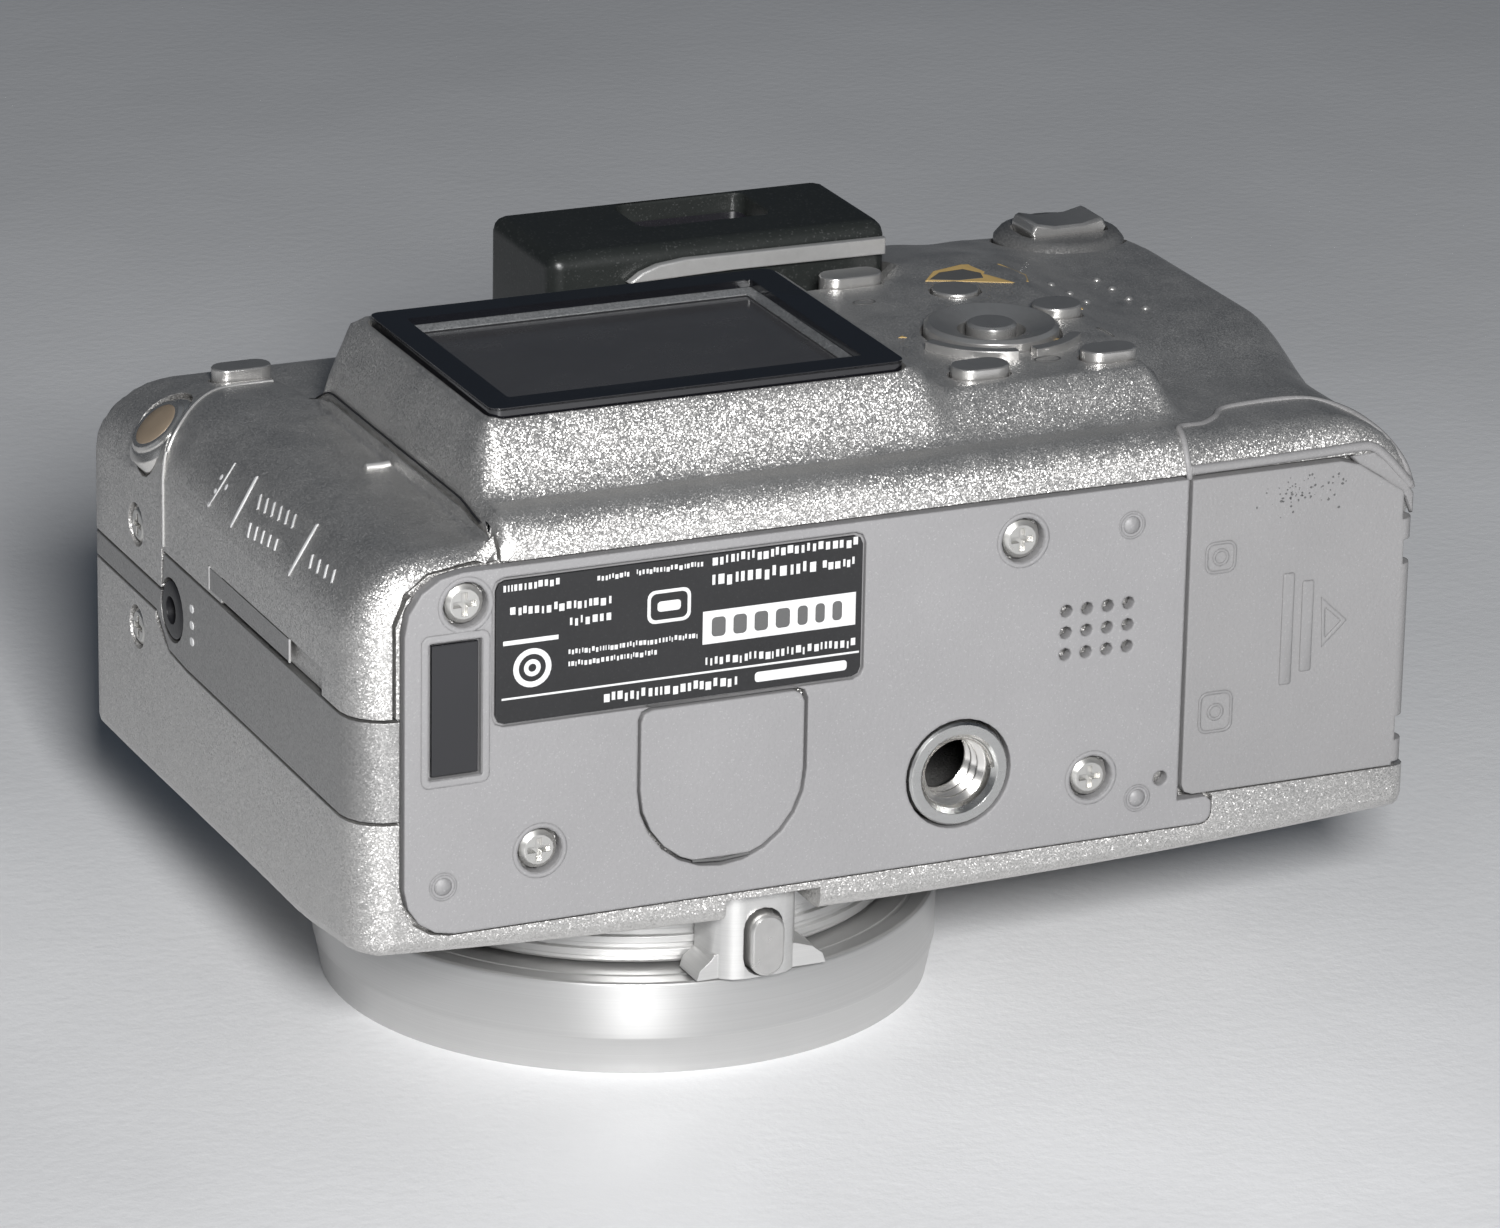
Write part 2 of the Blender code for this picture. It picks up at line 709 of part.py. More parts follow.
def dial_seat(name):
    return drill(name, DIAL_AT, DIAL_R + GAP, "Y", TOP_Y - DIAL_SUNK - GAP, 90.0, 32)


def slider_track(name):
    x, y = pin_axis()
    deep = y + DOOR_KNUCKLE_R + 2 * GAP + SLIDER_T
    return box(name, (x - SLIDER_WIDE - GAP, -REACH, DOOR_BARREL_LOW - DOOR_EAR - 2 * GAP),
               (REACH * 2, deep, DOOR_BARREL_HIGH + DOOR_EAR + 2 * GAP))


def band_space(name):
    """Room for the wide part of the side band in the front shell."""
    outline = [
        (-REACH, BAND_LOW_Z - GAP), (41.0, BAND_LOW_Z - GAP), (45.4, BAND_LOW_Z + 0.3 - GAP),
        (BAND_WIDE_Y + GAP, BAND_LOW_Z + 2.0), (BAND_WIDE_Y + 0.6, 60.0), (-REACH, 60.0),
    ]
    return prism(name, outline, "X", -90.0, PLATE_LEFT + 1.0)


def rear_shell():
    shell = dressed(casing("rear_shell"), (0.55, 0.53, 0.50), 0.7, 0.35)
    keep(shell, slab("rear_shell_span", SEAM_HIGH_Z, 99.0))
    cut(shell, cavity("rear_shell_hollow"))
    cut(shell, box("rear_pocket", (SCREEN_LEFT - 1.0, SCREEN_LOW_Y + 0.5, 40.0),
                   (25.0, SCREEN_HIGH_Y + 1.5, 54.6)))
    cut(shell, prism("rear_plate_seat", plate_outline(GAP), "Y", -REACH, PLATE_THICK + GAP))
    cut(shell, door_seat("rear_door_seat"))
    cut(shell, door_side("rear_door_side"))
    cut(shell, slider_track("rear_slider_seat"))
    cut(shell, bay_opening("rear_bay"))
    cut(shell, box("rear_band_space", (-90.0, -REACH, SEAM_HIGH_Z - 1.0),
                   (PLATE_LEFT + 1.0, COVER_FAR_Y + GAP + 0.1, COVER_LOW_Z)))
    taper = [
        (COVER_FAR_Y, SEAM_HIGH_Z - 1.0), (BAND_WIDE_Y - 1.2, SEAM_HIGH_Z - 1.0), (BAND_WIDE_Y - 1.2, SEAM_HIGH_Z),
        (COVER_FAR_Y + GAP, BAND_HIGH_Z), (COVER_FAR_Y, BAND_HIGH_Z),
    ]
    cut(shell, prism("rear_band_taper", taper, "X", -90.0, PLATE_LEFT + 1.0))
    space = cover_region("rear_cover_space", GAP)
    cut(space, base_side_cut("rear_cover_space_base", GAP))
    cut(shell, space)
    seat = rounded((BEZEL_LEFT - GAP, BEZEL_LOW_Y - GAP), (BEZEL_RIGHT + GAP, BEZEL_HIGH_Y + GAP), (1.2,) * 4, 3)
    cut(shell, prism("rear_bezel_seat", seat, "Z", BEZEL_TOP_Z - BEZEL_T - GAP, 80.0))
    cut(shell, box("rear_screen_hole", (SCREEN_LEFT - GAP, SCREEN_LOW_Y - GAP, 50.0),
                   (SCREEN_RIGHT + GAP, SCREEN_HIGH_Y + GAP, 80.0)))
    cut(shell, box("rear_finder_seat", (FINDER_LEFT - GAP, FINDER_LOW_Y - GAP, FINDER_FLOOR_Z - GAP),
                   (FINDER_RIGHT + GAP, FINDER_HIGH_Y + GAP, 80.0)))
    for name, (x, y, long, wide, level) in REAR_BUTTONS.items():
        radius = min(long, wide) + GAP
        hole = rounded((x - long - GAP, y - wide - GAP), (x + long + GAP, y + wide + GAP), (radius - 0.01,) * 4, 3)
        cut(shell, prism(name + "_hole", hole, "Z", level - BUTTON_DEEP - BUTTON_STROKE, 80.0))
    cut(shell, drill("control_pad_hole", PAD_AT, PAD_OUTER_R + GAP, "Z",
                     CONTROL_Z - BUTTON_DEEP - BUTTON_STROKE, 80.0, 32))
    cut(shell, drill("rear_collar_hole", ROCKER_AT, ROCKER_COLLAR_R + GAP, "Z", ROCKER_COLLAR_FOOT_Z - GAP, 80.0, 32))
    cut(shell, dial_seat("rear_dial_seat"))
    for i, (x, z) in enumerate(SCREW_SPOTS[:2]):
        cut(shell, drill("rear_screw_hole_%d" % i, (x, z), SCREW_SHANK_R + GAP, "Y", -5.0, 10.0, 12))
    side = SIDE_SCREW_ZS[0]
    cut(shell, drill("rear_side_screw_seat", (SIDE_SCREW_Y, side), SCREW_HEAD_R + GAP, "X", -60, -47.7, 16))
    cut(shell, drill("rear_side_screw_hole", (SIDE_SCREW_Y, side), SCREW_SHANK_R + GAP, "X", -60, -40, 12))
    cut(shell, lug_shape("rear_lug_seat", GAP))
    return shell


def lug_shape(name, grow=0.0):
    """A stepped round post; with grow it is the seat cut for it."""
    if grow:
        profile = [(0.0, -1.6 - grow), (LUG_R + grow, -1.6 - grow), (LUG_R + grow, 9.0), (0.0, 9.0)]
    else:
        profile = [
            (0.0, -1.6), (LUG_R, -1.6), (LUG_R, 0.5), (LUG_R - 0.5, 0.9), (LUG_FACE_R + 0.3, 1.0),
            (LUG_FACE_R + 0.3, LUG_HIGH), (LUG_FACE_R, LUG_HIGH + 0.3), (0.0, LUG_HIGH + 0.3),
        ]
    post = turned(name, profile, (0.0, 0.0), "Z", 24, (0.0, 0.0, 0.0))
    post.location = Vector(LUG_AT) * MM
    post.rotation_euler = (0.0, -LUG_TILT, 0.0)
    return post


def strap_lug():
    return dressed(lug_shape("strap_lug"), (0.62, 0.58, 0.52), 1.0, 0.18)


def side_band():
    """The darker band between the shells, wide beside the connectors."""
    band = dressed(casing("side_band"), (0.36, 0.36, 0.35), 0.6, 0.38)
    wide = [
        (-REACH, BAND_LOW_Z), (41.0, BAND_LOW_Z), (45.4, BAND_LOW_Z + 0.3), (BAND_WIDE_Y, SEAM_LOW_Z + GAP),
        (90.0, SEAM_LOW_Z + GAP), (90.0, SEAM_HIGH_Z - GAP), (BAND_WIDE_Y - 1.6, SEAM_HIGH_Z - GAP),
        (COVER_FAR_Y - 0.2, BAND_HIGH_Z), (-REACH, BAND_HIGH_Z),
    ]
    span = prism("band_span", wide, "X", -90.0, PLATE_LEFT + 0.7)
    join(span, box("band_ring_span", (PLATE_LEFT, -REACH, SEAM_LOW_Z + GAP), (90.0, 110.0, SEAM_HIGH_Z - GAP)))
    keep(band, span)
    cut(band, cavity("band_hollow"))
    cut(band, prism("band_plate_seat", plate_outline(GAP), "Y", -REACH, PLATE_THICK + GAP))
    cut(band, door_seat("band_door_seat"))
    cut(band, door_side("band_door_side"))
    cut(band, slider_track("band_slider_seat"))
    cut(band, bay_opening("band_bay"))
    cut(band, dial_seat("band_dial_seat"))
    cut(band, drill("band_jack_seat", (JACK_Y, JACK_Z), JACK_R + GAP, "X", -60.0, -45.0, 24))
    return band


def base_plate():
    plate = prism("base_plate", plate_outline(), "Y", 0.0, PLATE_THICK)
    dressed(plate, (0.42, 0.43, 0.45), 0.15, 0.5)
    for i, (x, z) in enumerate(SCREW_SPOTS):
        cut(plate, drill("plate_screw_seat_%d" % i, (x, z), SCREW_HEAD_R + GAP, "Y", -2.0, 3.0, 16))
    cut(plate, drill("plate_tripod_hole", (TRIPOD_X, TRIPOD_Z), TRIPOD_FLANGE_R + GAP, "Y", -2.0, 3.0, 32))
    cut(plate, prism("plate_cap_hole", cap_outline(GAP), "Y", -2.0, 3.0))
    grown = rounded((LABEL_LEFT - GAP, LABEL_LOW_Z - GAP), (LABEL_RIGHT + GAP, LABEL_HIGH_Z + GAP), (1.0,) * 4, 2)
    cut(plate, prism("plate_label_seat", grown, "Y", -2.0, LABEL_T + GAP))
    cut(plate, box("plate_pad_seat", (PAD_LEFT - GAP, -2.0, PAD_LOW_Z - GAP),
                   (PAD_RIGHT + GAP, LABEL_T + 2 * GAP, PAD_HIGH_Z + GAP)))
    for column in range(SPEAKER_COLUMNS):
        for row in range(SPEAKER_ROWS):
            centre = (SPEAKER_X + column * SPEAKER_PITCH, SPEAKER_Z + row * SPEAKER_PITCH)
            name = "plate_speaker_hole_%d_%d" % (column, row)
            cut(plate, drill(name, centre, SPEAKER_HOLE_R, "Y", -2.0, 3.0, 8))
    cut(plate, drill("plate_reset_hole", (RESET_X, RESET_Z), RESET_R, "Y", -2.0, 3.0, 10))
    return plate


def service_cap():
    cap = prism("service_cap", cap_outline(), "Y", 0.0, PLATE_THICK)
    middle = (CAP_LEFT + CAP_RIGHT) / 2
    foot = CAP_TOP_Z - 7.0 - (CAP_RIGHT - CAP_LEFT) / 2
    cut(cap, box("cap_nail_notch", (middle - 2.6, -1.0, foot - 1.0), (middle + 2.6, 0.7, foot + 0.5)))
    return dressed(cap, (0.42, 0.43, 0.45), 0.15, 0.5)


def rating_label():
    outline = rounded((LABEL_LEFT, LABEL_LOW_Z), (LABEL_RIGHT, LABEL_HIGH_Z), (0.8,) * 4, 2)
    return dressed(prism("rating_label", outline, "Y", 0.0, LABEL_T), (0.03, 0.03, 0.035), 0.0, 0.35)


def dark_pad():
    pad = box("dark_pad", (PAD_LEFT, 0.1, PAD_LOW_Z), (PAD_RIGHT, LABEL_T + 0.2, PAD_HIGH_Z))
    return dressed(pad, (0.03, 0.032, 0.036), 0.0, 0.45)


def tripod_socket():
    """Steel insert with a plain bore where the thread is."""
    low = -0.15
    profile = [
        (TRIPOD_BORE_R, low + 0.5), (TRIPOD_BORE_R + 0.4, low), (TRIPOD_FLANGE_R - 0.2, low),
        (TRIPOD_FLANGE_R, low + 0.2), (TRIPOD_FLANGE_R, TRIPOD_DEEP), (TRIPOD_BORE_R, TRIPOD_DEEP),
    ]
    socket = turned("tripod_socket", profile, (TRIPOD_X, TRIPOD_Z), "Y", 32)
    return dressed(socket, (0.55, 0.55, 0.55), 1.0, 0.25)


def screw(name, spot, axis, face):
    """A cross-head screw whose head stands just under the face it closes."""
    inward = 1.0
    tip = face + inward * SCREW_LONG
    under = face + inward * SCREW_HEAD_T
    profile = [
        (0.0, face), (SCREW_HEAD_R - 0.4, face), (SCREW_HEAD_R, face + 0.3), (SCREW_HEAD_R, under),
        (SCREW_SHANK_R, under), (SCREW_SHANK_R, tip), (0.0, tip),
    ]
    made = turned(name, profile, spot, axis, 16)
    a, b = spot
    for i, (long, wide) in enumerate(((CROSS_LONG, CROSS_WIDE), (CROSS_WIDE, CROSS_LONG))):
        low = lifted(axis, (a - long / 2, b - wide / 2), face - 1.0)
        high = lifted(axis, (a + long / 2, b + wide / 2), face + CROSS_DEEP)
        cut(made, box("%s_slot_%d" % (name, i), low, high))
    return dressed(made, (0.60, 0.59, 0.56), 1.0, 0.25)


def screws():
    for letter, spot in zip("abcd", SCREW_SPOTS):
        screw("base_screw_" + letter, spot, "Y", 0.2)
    for letter, z in zip("ab", SIDE_SCREW_ZS):
        screw("side_screw_" + letter, (SIDE_SCREW_Y, z), "X", -HALF_WIDTH + 0.1)


def battery_door():
    """Flat door with a thick right edge, rounded about its hinge pin."""
    x, y = pin_axis()
    radius = DOOR_KNUCKLE_R
    door = prism("battery_door", door_outline(), "Y", 0.0, DOOR_THICK,
                 at=(x, y, (DOOR_BARREL_LOW + DOOR_BARREL_HIGH) / 2))
    dressed(door, (0.42, 0.42, 0.43), 0.15, 0.5)
    edge = box("door_edge_trim", (x, -1.0, DOOR_LOW_Z - 1.0), (x + 4.0, 4.0, DOOR_HIGH_Z))
    cut(door, edge)
    knuckle = [(x - radius - GAP, DOOR_THICK / 2), (x - radius - GAP, 2 * radius)]
    knuckle += [(x + radius * math.sin(math.radians(a)), y + radius * math.cos(math.radians(a))) for a in range(0, 181, 15)]
    knuckle += [(x - radius, 0.0)]
    join(door, prism("door_knuckle", knuckle, "Z", DOOR_LOW_Z + GAP, DOOR_CUT_Z))
    skin = DOOR_SKIN
    room = [
        (x - DOOR_EAR_R - GAP, skin), (x + 0.2, skin), (x + 0.2, -2.0), (x + 4.0, -2.0),
        (x + 4.0, 6.0), (x - DOOR_EAR_R - GAP, 6.0),
    ]
    for i, low in enumerate((DOOR_BARREL_LOW - DOOR_EAR - GAP, DOOR_BARREL_HIGH)):
        cut(door, prism("door_ear_notch_%d" % i, room, "Z", low - 0.3, low + DOOR_EAR + GAP + 0.3))
    cut(door, drill("door_pin_bore", (x, y), DOOR_PIN_R + 0.08, "Z", 10.0, 60.0, 16))
    return door


def door_slider():
    """Strip behind the door with two ears and the hinge pin, made as one piece."""
    x, y = pin_axis()
    low_z = DOOR_BARREL_LOW - DOOR_EAR
    high_z = DOOR_BARREL_HIGH + DOOR_EAR
    strip_low = y + DOOR_KNUCKLE_R + GAP
    radius = DOOR_EAR_R
    strip = box("door_slider", (x - SLIDER_WIDE, strip_low, low_z), (x + 0.9, strip_low + SLIDER_T, high_z),
                at=(x, y, (low_z + high_z) / 2))
    dressed(strip, (0.55, 0.55, 0.55), 1.0, 0.3)
    ear = [(x + radius * math.cos(math.radians(a)), y - radius * math.sin(math.radians(a))) for a in range(0, 181, 20)]
    ear += [(x - radius, strip_low + 0.3), (x + radius, strip_low + 0.3)]
    for i, z in enumerate((low_z, high_z - DOOR_EAR + GAP)):
        join(strip, prism("slider_ear_%d" % i, ear, "Z", z, z + DOOR_EAR - GAP))
    join(strip, drill("slider_pin", (x, y), DOOR_PIN_R, "Z", low_z + 0.2, high_z - 0.2, 16))
    return strip


def connector_cover():
    cover = casing("connector_cover")
    dressed(cover, (0.55, 0.53, 0.50), 0.7, 0.35)
    region = cover_region("cover_span")
    cut(region, base_side_cut("cover_span_base"))
    keep(cover, region)
    cut(cover, inner_cover("cover_hollow"))
    cut(cover, lug_shape("cover_lug_seat", GAP))
    outer = [(8.0, COVER_LOW_Z - 1), (32.0, COVER_LOW_Z - 1), (32.0, COVER_LOW_Z + 2.4), (8.0, COVER_LOW_Z + 2.4)]
    cut(cover, prism("cover_nail_lip", outer, "X", -60.0, -HALF_WIDTH + 0.5))
    hinge = (COVER_EDGE_X, 0.0, COVER_HINGE_Z)
    cover.data.transform(Matrix.Translation(-Vector(hinge) * MM + cover.location))
    cover.location = Vector(hinge) * MM
    return cover


def connector_block():
    """Dark block with the three sockets that the cover hides."""
    face = -HALF_WIDTH + COVER_SHELL + 0.7
    outline = [
        (face, COVER_LOW_Z + 0.8), (face, 43.0), (-45.7, 45.4), (-44.2, 47.0), (-42.2, 48.0),
        (COVER_EDGE_X - 0.6, 48.4), (COVER_EDGE_X - 0.6, COVER_LOW_Z + 0.8),
    ]
    block = prism("connector_block", outline, "Y", 6.2, COVER_FAR_Y - 1.4)
    for i, (y, long, high) in enumerate(((12.0, 3.0, 2.4), (23.5, 7.0, 2.4), (36.0, 5.0, 2.4))):
        cut(block, box("socket_%d" % i, (-60.0, y - long, 41.0 - high / 2),
                       (face + SOCKET_DEEP, y + long, 41.0 + high)))
    return dressed(block, (0.02, 0.02, 0.022), 0.0, 0.5)


def accessory_jack():
    profile = [
        (0.0, -45.6), (JACK_R, -45.6), (JACK_R, -48.9), (JACK_R - 0.4, -49.1), (1.25, -49.1), (1.25, -46.4), (0.0, -46.4),
    ]
    jack = turned("accessory_jack", profile, (JACK_Y, JACK_Z), "X", 24)
    return dressed(jack, (0.02, 0.02, 0.022), 0.0, 0.4)


def screen():
    outline = rounded((BEZEL_LEFT, BEZEL_LOW_Y), (BEZEL_RIGHT, BEZEL_HIGH_Y), (1.0,) * 4, 3)
    window = prism("lcd_window", outline, "Z", BEZEL_TOP_Z - BEZEL_T, BEZEL_TOP_Z)
    dressed(softened(window, 0.25, 1), (0.01, 0.01, 0.012), 0.0, 0.06)
    base = BEZEL_TOP_Z - BEZEL_T - GAP
    module = box("lcd_module", (SCREEN_LEFT, SCREEN_LOW_Y, base - SCREEN_DEEP), (SCREEN_RIGHT, SCREEN_HIGH_Y, base))
    dressed(module, (0.10, 0.10, 0.11), 0.0, 0.3)


def viewfinder():
    housing = box("viewfinder_housing", (FINDER_LEFT, FINDER_LOW_Y, FINDER_FLOOR_Z),
                  (FINDER_RIGHT, FINDER_HIGH_Y, FINDER_TOP_Z))
    softened(housing, FINDER_ROUND, 3)
    outline = rounded((EYE_LEFT, EYE_LOW_Y), (EYE_RIGHT, EYE_HIGH_Y), (1.2,) * 4, 3)
    cut(housing, prism("eyepiece_recess", outline, "Z", FINDER_TOP_Z - EYE_DEEP, 80.0))
    dressed(housing, (0.02, 0.02, 0.022), 0.0, 0.45)
    glass = rounded((EYE_LEFT + GAP, EYE_LOW_Y + GAP), (EYE_RIGHT - GAP, EYE_HIGH_Y - GAP), (0.9,) * 4, 3)
    low = FINDER_TOP_Z - EYE_DEEP + GAP
    dressed(prism("eyepiece_glass", glass, "Z", low, low + 1.0), (0.05, 0.04, 0.045), 0.0, 0.05)


def rear_buttons():
    for name, (x, y, long, wide, level) in REAR_BUTTONS.items():
        radius = min(long, wide)
        outline = rounded((x - long, y - wide), (x + long, y + wide), (radius - 0.01,) * 4, 4)
        proud = BUTTON_PROUD
        if name == "lock_button":
            proud = 0.3
        button = prism(name, outline, "Z", level - BUTTON_DEEP + 0.1, level + proud, smooth=True)
        dressed(softened(button, 0.25, 1), (0.58, 0.57, 0.54), 0.8, 0.25)


def control_pad():
    low = CONTROL_Z - BUTTON_DEEP + 0.1
    high = CONTROL_Z + 1.0
    profile = [
        (PAD_INNER_R, low), (PAD_OUTER_R, low), (PAD_OUTER_R, high - 0.3), (PAD_OUTER_R - 0.4, high),
        (PAD_INNER_R + 0.6, high - 0.5), (PAD_INNER_R, high - 0.7),
    ]
    dressed(turned("control_pad", profile, PAD_AT, "Z", 32), (0.58, 0.57, 0.54), 0.8, 0.25)
    button = [(0.0, low), (PAD_BUTTON_R, low), (PAD_BUTTON_R, high - 0.2), (PAD_BUTTON_R - 0.3, high), (0.0, high)]
    dressed(turned("centre_button", button, PAD_AT, "Z", 20), (0.58, 0.57, 0.54), 0.8, 0.25)


def rocker_collar():
    """Raised round collar that the zoom rocker sits in."""
    x, y = ROCKER_AT
    radius = ROCKER_COLLAR_R
    profile = [
        (0.0, ROCKER_COLLAR_FOOT_Z), (radius, ROCKER_COLLAR_FOOT_Z), (radius, ROCKER_COLLAR_Z - 0.9),
        (radius - 0.5, ROCKER_COLLAR_Z - 0.3), (radius - 1.2, ROCKER_COLLAR_Z), (0.0, ROCKER_COLLAR_Z),
    ]
    collar = turned("rocker_collar", profile, ROCKER_AT, "Z", 32)
    hole = rounded((x - ROCKER_LONG / 2 - GAP, y - ROCKER_WIDE / 2 - GAP),
                   (x + ROCKER_LONG / 2 + GAP, y + ROCKER_WIDE / 2 + GAP), (1.2,) * 4, 2)
    cut(collar, prism("rocker_collar_hole", hole, "Z", ROCKER_COLLAR_FOOT_Z + 0.8, 80.0))
    return dressed(collar, (0.40, 0.39, 0.38), 0.7, 0.3)


def zoom_rocker():
    """Two-way rocker that tips about an axis along Y at its middle."""
    x, y = ROCKER_AT
    low = ROCKER_COLLAR_FOOT_Z + 0.8 + 2 * GAP
    top = ROCKER_TOP_Z
    half = ROCKER_LONG / 2
    side = [
        (x - half + 0.8, low + 0.6), (x, low), (x + half - 0.8, low + 0.6), (x + half - 0.1, top - 0.9),
        (x + half - 0.6, top), (x + 1.4, top - 0.45), (x - 1.4, top - 0.45), (x - half + 0.6, top),
        (x - half + 0.1, top - 0.9),
    ]
    rocker = prism("zoom_rocker", side, "Y", y - ROCKER_WIDE / 2, y + ROCKER_WIDE / 2, at=(x, y, low + 0.9))
    return dressed(softened(rocker, 0.25, 1), (0.60, 0.59, 0.57), 0.8, 0.2)


def mode_dial():
    x, z = DIAL_AT
    low = TOP_Y - DIAL_SUNK
    outline = []
    for i in range(DIAL_TEETH):
        for share, radius in ((0.0, DIAL_R), (0.5, DIAL_R), (0.62, DIAL_R - 0.35), (0.88, DIAL_R - 0.35)):
            angle = 2 * math.pi * (i + share) / DIAL_TEETH
            outline.append((x + radius * math.cos(angle), z + radius * math.sin(angle)))
    dial = prism("mode_dial", outline, "Y", low, low + DIAL_HIGH, at=(x, low + DIAL_HIGH / 2, z))
    return dressed(dial, (0.45, 0.45, 0.45), 0.8, 0.3)


def top_buttons():
    low = TOP_Y - 2.6
    for name, centre, radius, count in (("shutter_button", SHUTTER_AT, SHUTTER_R, 28), ("power_button", POWER_AT, POWER_R, 20)):
        high = TOP_Y + SHUTTER_PROUD * (1.0 if name == "shutter_button" else 0.4)
        profile = [(0.0, low), (radius, low), (radius, high - 0.4), (radius - 0.5, high), (0.0, high)]
        dressed(turned(name, profile, centre, "Y", count), (0.62, 0.60, 0.58), 0.9, 0.2)


def hot_shoe():
    """Accessory shoe: a floor plate with two rails folded over it."""
    x, z = SHOE_AT
    low = TOP_Y + GAP
    floor = low + SHOE_PLATE
    roof = floor + SHOE_SLOT_HIGH
    high = roof + SHOE_RAIL
    half = SHOE_WIDE / 2
    slot = SHOE_SLOT_WIDE / 2
    mouth = SHOE_MOUTH_WIDE / 2
    section = [
        (x - half, low), (x + half, low), (x + half, high), (x + mouth, high), (x + mouth, roof), (x + slot, roof),
        (x + slot, floor), (x - slot, floor), (x - slot, roof), (x - mouth, roof), (x - mouth, high), (x - half, high),
    ]
    shoe = prism("hot_shoe", section, "Z", z - SHOE_LONG / 2, z + SHOE_LONG / 2)
    return dressed(shoe, (0.50, 0.50, 0.50), 1.0, 0.3)


def flash_head():
    """Pop-up flash lying flush with the top; it turns about its rear top edge."""
    low = TOP_Y - FLASH_HIGH
    middle = (FLASH_LEFT + FLASH_RIGHT) / 2
    outline = [
        (low, FLASH_LOW_Z + 0.8), (low, FLASH_HIGH_Z - 0.6), (low + 0.6, FLASH_HIGH_Z),
        (TOP_Y, FLASH_HIGH_Z), (TOP_Y, FLASH_LOW_Z + 1.4), (TOP_Y - 1.4, FLASH_LOW_Z), (low + 0.8, FLASH_LOW_Z),
    ]
    head = prism("flash_head", outline, "X", FLASH_LEFT, FLASH_RIGHT, at=(middle, TOP_Y, FLASH_HIGH_Z))
    return dressed(head, (0.53, 0.51, 0.48), 0.7, 0.35)


def front_fittings():
    outline = rounded((GRIP_LEFT, GRIP_LOW_Y), (GRIP_RIGHT, GRIP_HIGH_Y), (3.5,) * 4, 3)
    grip = prism("finger_grip", outline, "Z", FRONT_Z - GRIP_HIGH, FRONT_Z - GAP)
    dressed(softened(grip, 1.0, 2), (0.30, 0.30, 0.30), 0.3, 0.5)
    glass = rounded(*FRONT_GLASS, (0.8,) * 4, 2)
    dressed(prism("finder_front_glass", glass, "Z", FRONT_Z + 0.2, FRONT_Z + 1.3), (0.03, 0.03, 0.04), 0.0, 0.05)
    lamp = [(0.0, FRONT_Z + 0.2), (LAMP_R, FRONT_Z + 0.2), (LAMP_R, FRONT_Z + 1.3), (0.0, FRONT_Z + 1.3)]
    dressed(turned("focus_lamp", lamp, LAMP_AT, "Z", 20), (0.35, 0.05, 0.03), 0.0, 0.1)


def lens_parts():
    centre = (LENS_X, LENS_Y)
    ring = [
        (RING_LIP_R, 0.0), (RING_FOOT_R, 0.0), (RING_R - 0.1, RING_CHAMFER), (RING_R, RING_CHAMFER + 0.2),
        (RING_R, RING_HIGH - 0.2), (RING_R - 0.2, RING_HIGH), (RING_BORE_R, RING_HIGH), (RING_BORE_R, 1.6),
    ]
    dressed(turned("lens_ring", ring, centre, "Z", 64), (0.72, 0.71, 0.69), 1.0, 0.25)
    low = RING_HIGH + RING_TURN_GAP
    flange = [
        (SLEEVE_BORE_R, low), (FLANGE_R - 0.3, low), (FLANGE_R, low + 0.3), (FLANGE_R, FRONT_Z - GAP - 2.4),
        (FLANGE_R + 0.7, FRONT_Z - GAP - 2.2), (FLANGE_R + 0.7, FRONT_Z - GAP), (SLEEVE_BORE_R, FRONT_Z - GAP),
    ]
    body = dressed(turned("lens_flange", flange, centre, "Z", 56), (0.60, 0.59, 0.57), 0.9, 0.3)
    cut(body, box("flange_post_relief", (POST_X - POST_HALF - GAP, 0.0, 0.0),
                  (POST_X + POST_HALF + GAP, 7.7 + GAP, 40.0)))
    sleeve = [
        (SLEEVE_BORE_R, FRONT_Z), (SLEEVE_R, FRONT_Z), (SLEEVE_R, SLEEVE_REAR_Z), (0.0, SLEEVE_REAR_Z),
        (0.0, SLEEVE_REAR_Z - 1.2), (SLEEVE_BORE_R, SLEEVE_REAR_Z - 1.2),
    ]
    dressed(turned("lens_sleeve", sleeve, centre, "Z", 40), (0.03, 0.03, 0.03), 0.0, 0.5)
    outer = [
        (OUTER_BORE_R, OUTER_FRONT_Z), (OUTER_R - 0.3, OUTER_FRONT_Z), (OUTER_R, OUTER_FRONT_Z + 0.3),
        (OUTER_R, OUTER_FRONT_Z + OUTER_LONG), (OUTER_BORE_R, OUTER_FRONT_Z + OUTER_LONG),
    ]
    dressed(turned("outer_barrel", outer, centre, "Z", 40), (0.60, 0.59, 0.57), 0.9, 0.3)
    rear = INNER_FRONT_Z + INNER_LONG
    glass_low = INNER_FRONT_Z + 0.8
    glass_high = glass_low + GLASS_T
    inner = [
        (LENS_GLASS_R + GAP, INNER_FRONT_Z), (INNER_R - 0.3, INNER_FRONT_Z), (INNER_R, INNER_FRONT_Z + 0.3),
        (INNER_R, rear), (0.0, rear), (0.0, glass_high + GAP), (LENS_GLASS_R + GAP, glass_high + GAP),
    ]
    dressed(turned("inner_barrel", inner, centre, "Z", 40), (0.05, 0.05, 0.05), 0.2, 0.4)
    glass = [
        (0.0, glass_low), (LENS_GLASS_R * 0.5, glass_low + 0.25), (LENS_GLASS_R, glass_low + 1.1),
        (LENS_GLASS_R, glass_high), (0.0, glass_high),
    ]
    dressed(turned("lens_glass", glass, centre, "Z", 32), (0.05, 0.05, 0.09), 0.0, 0.03)


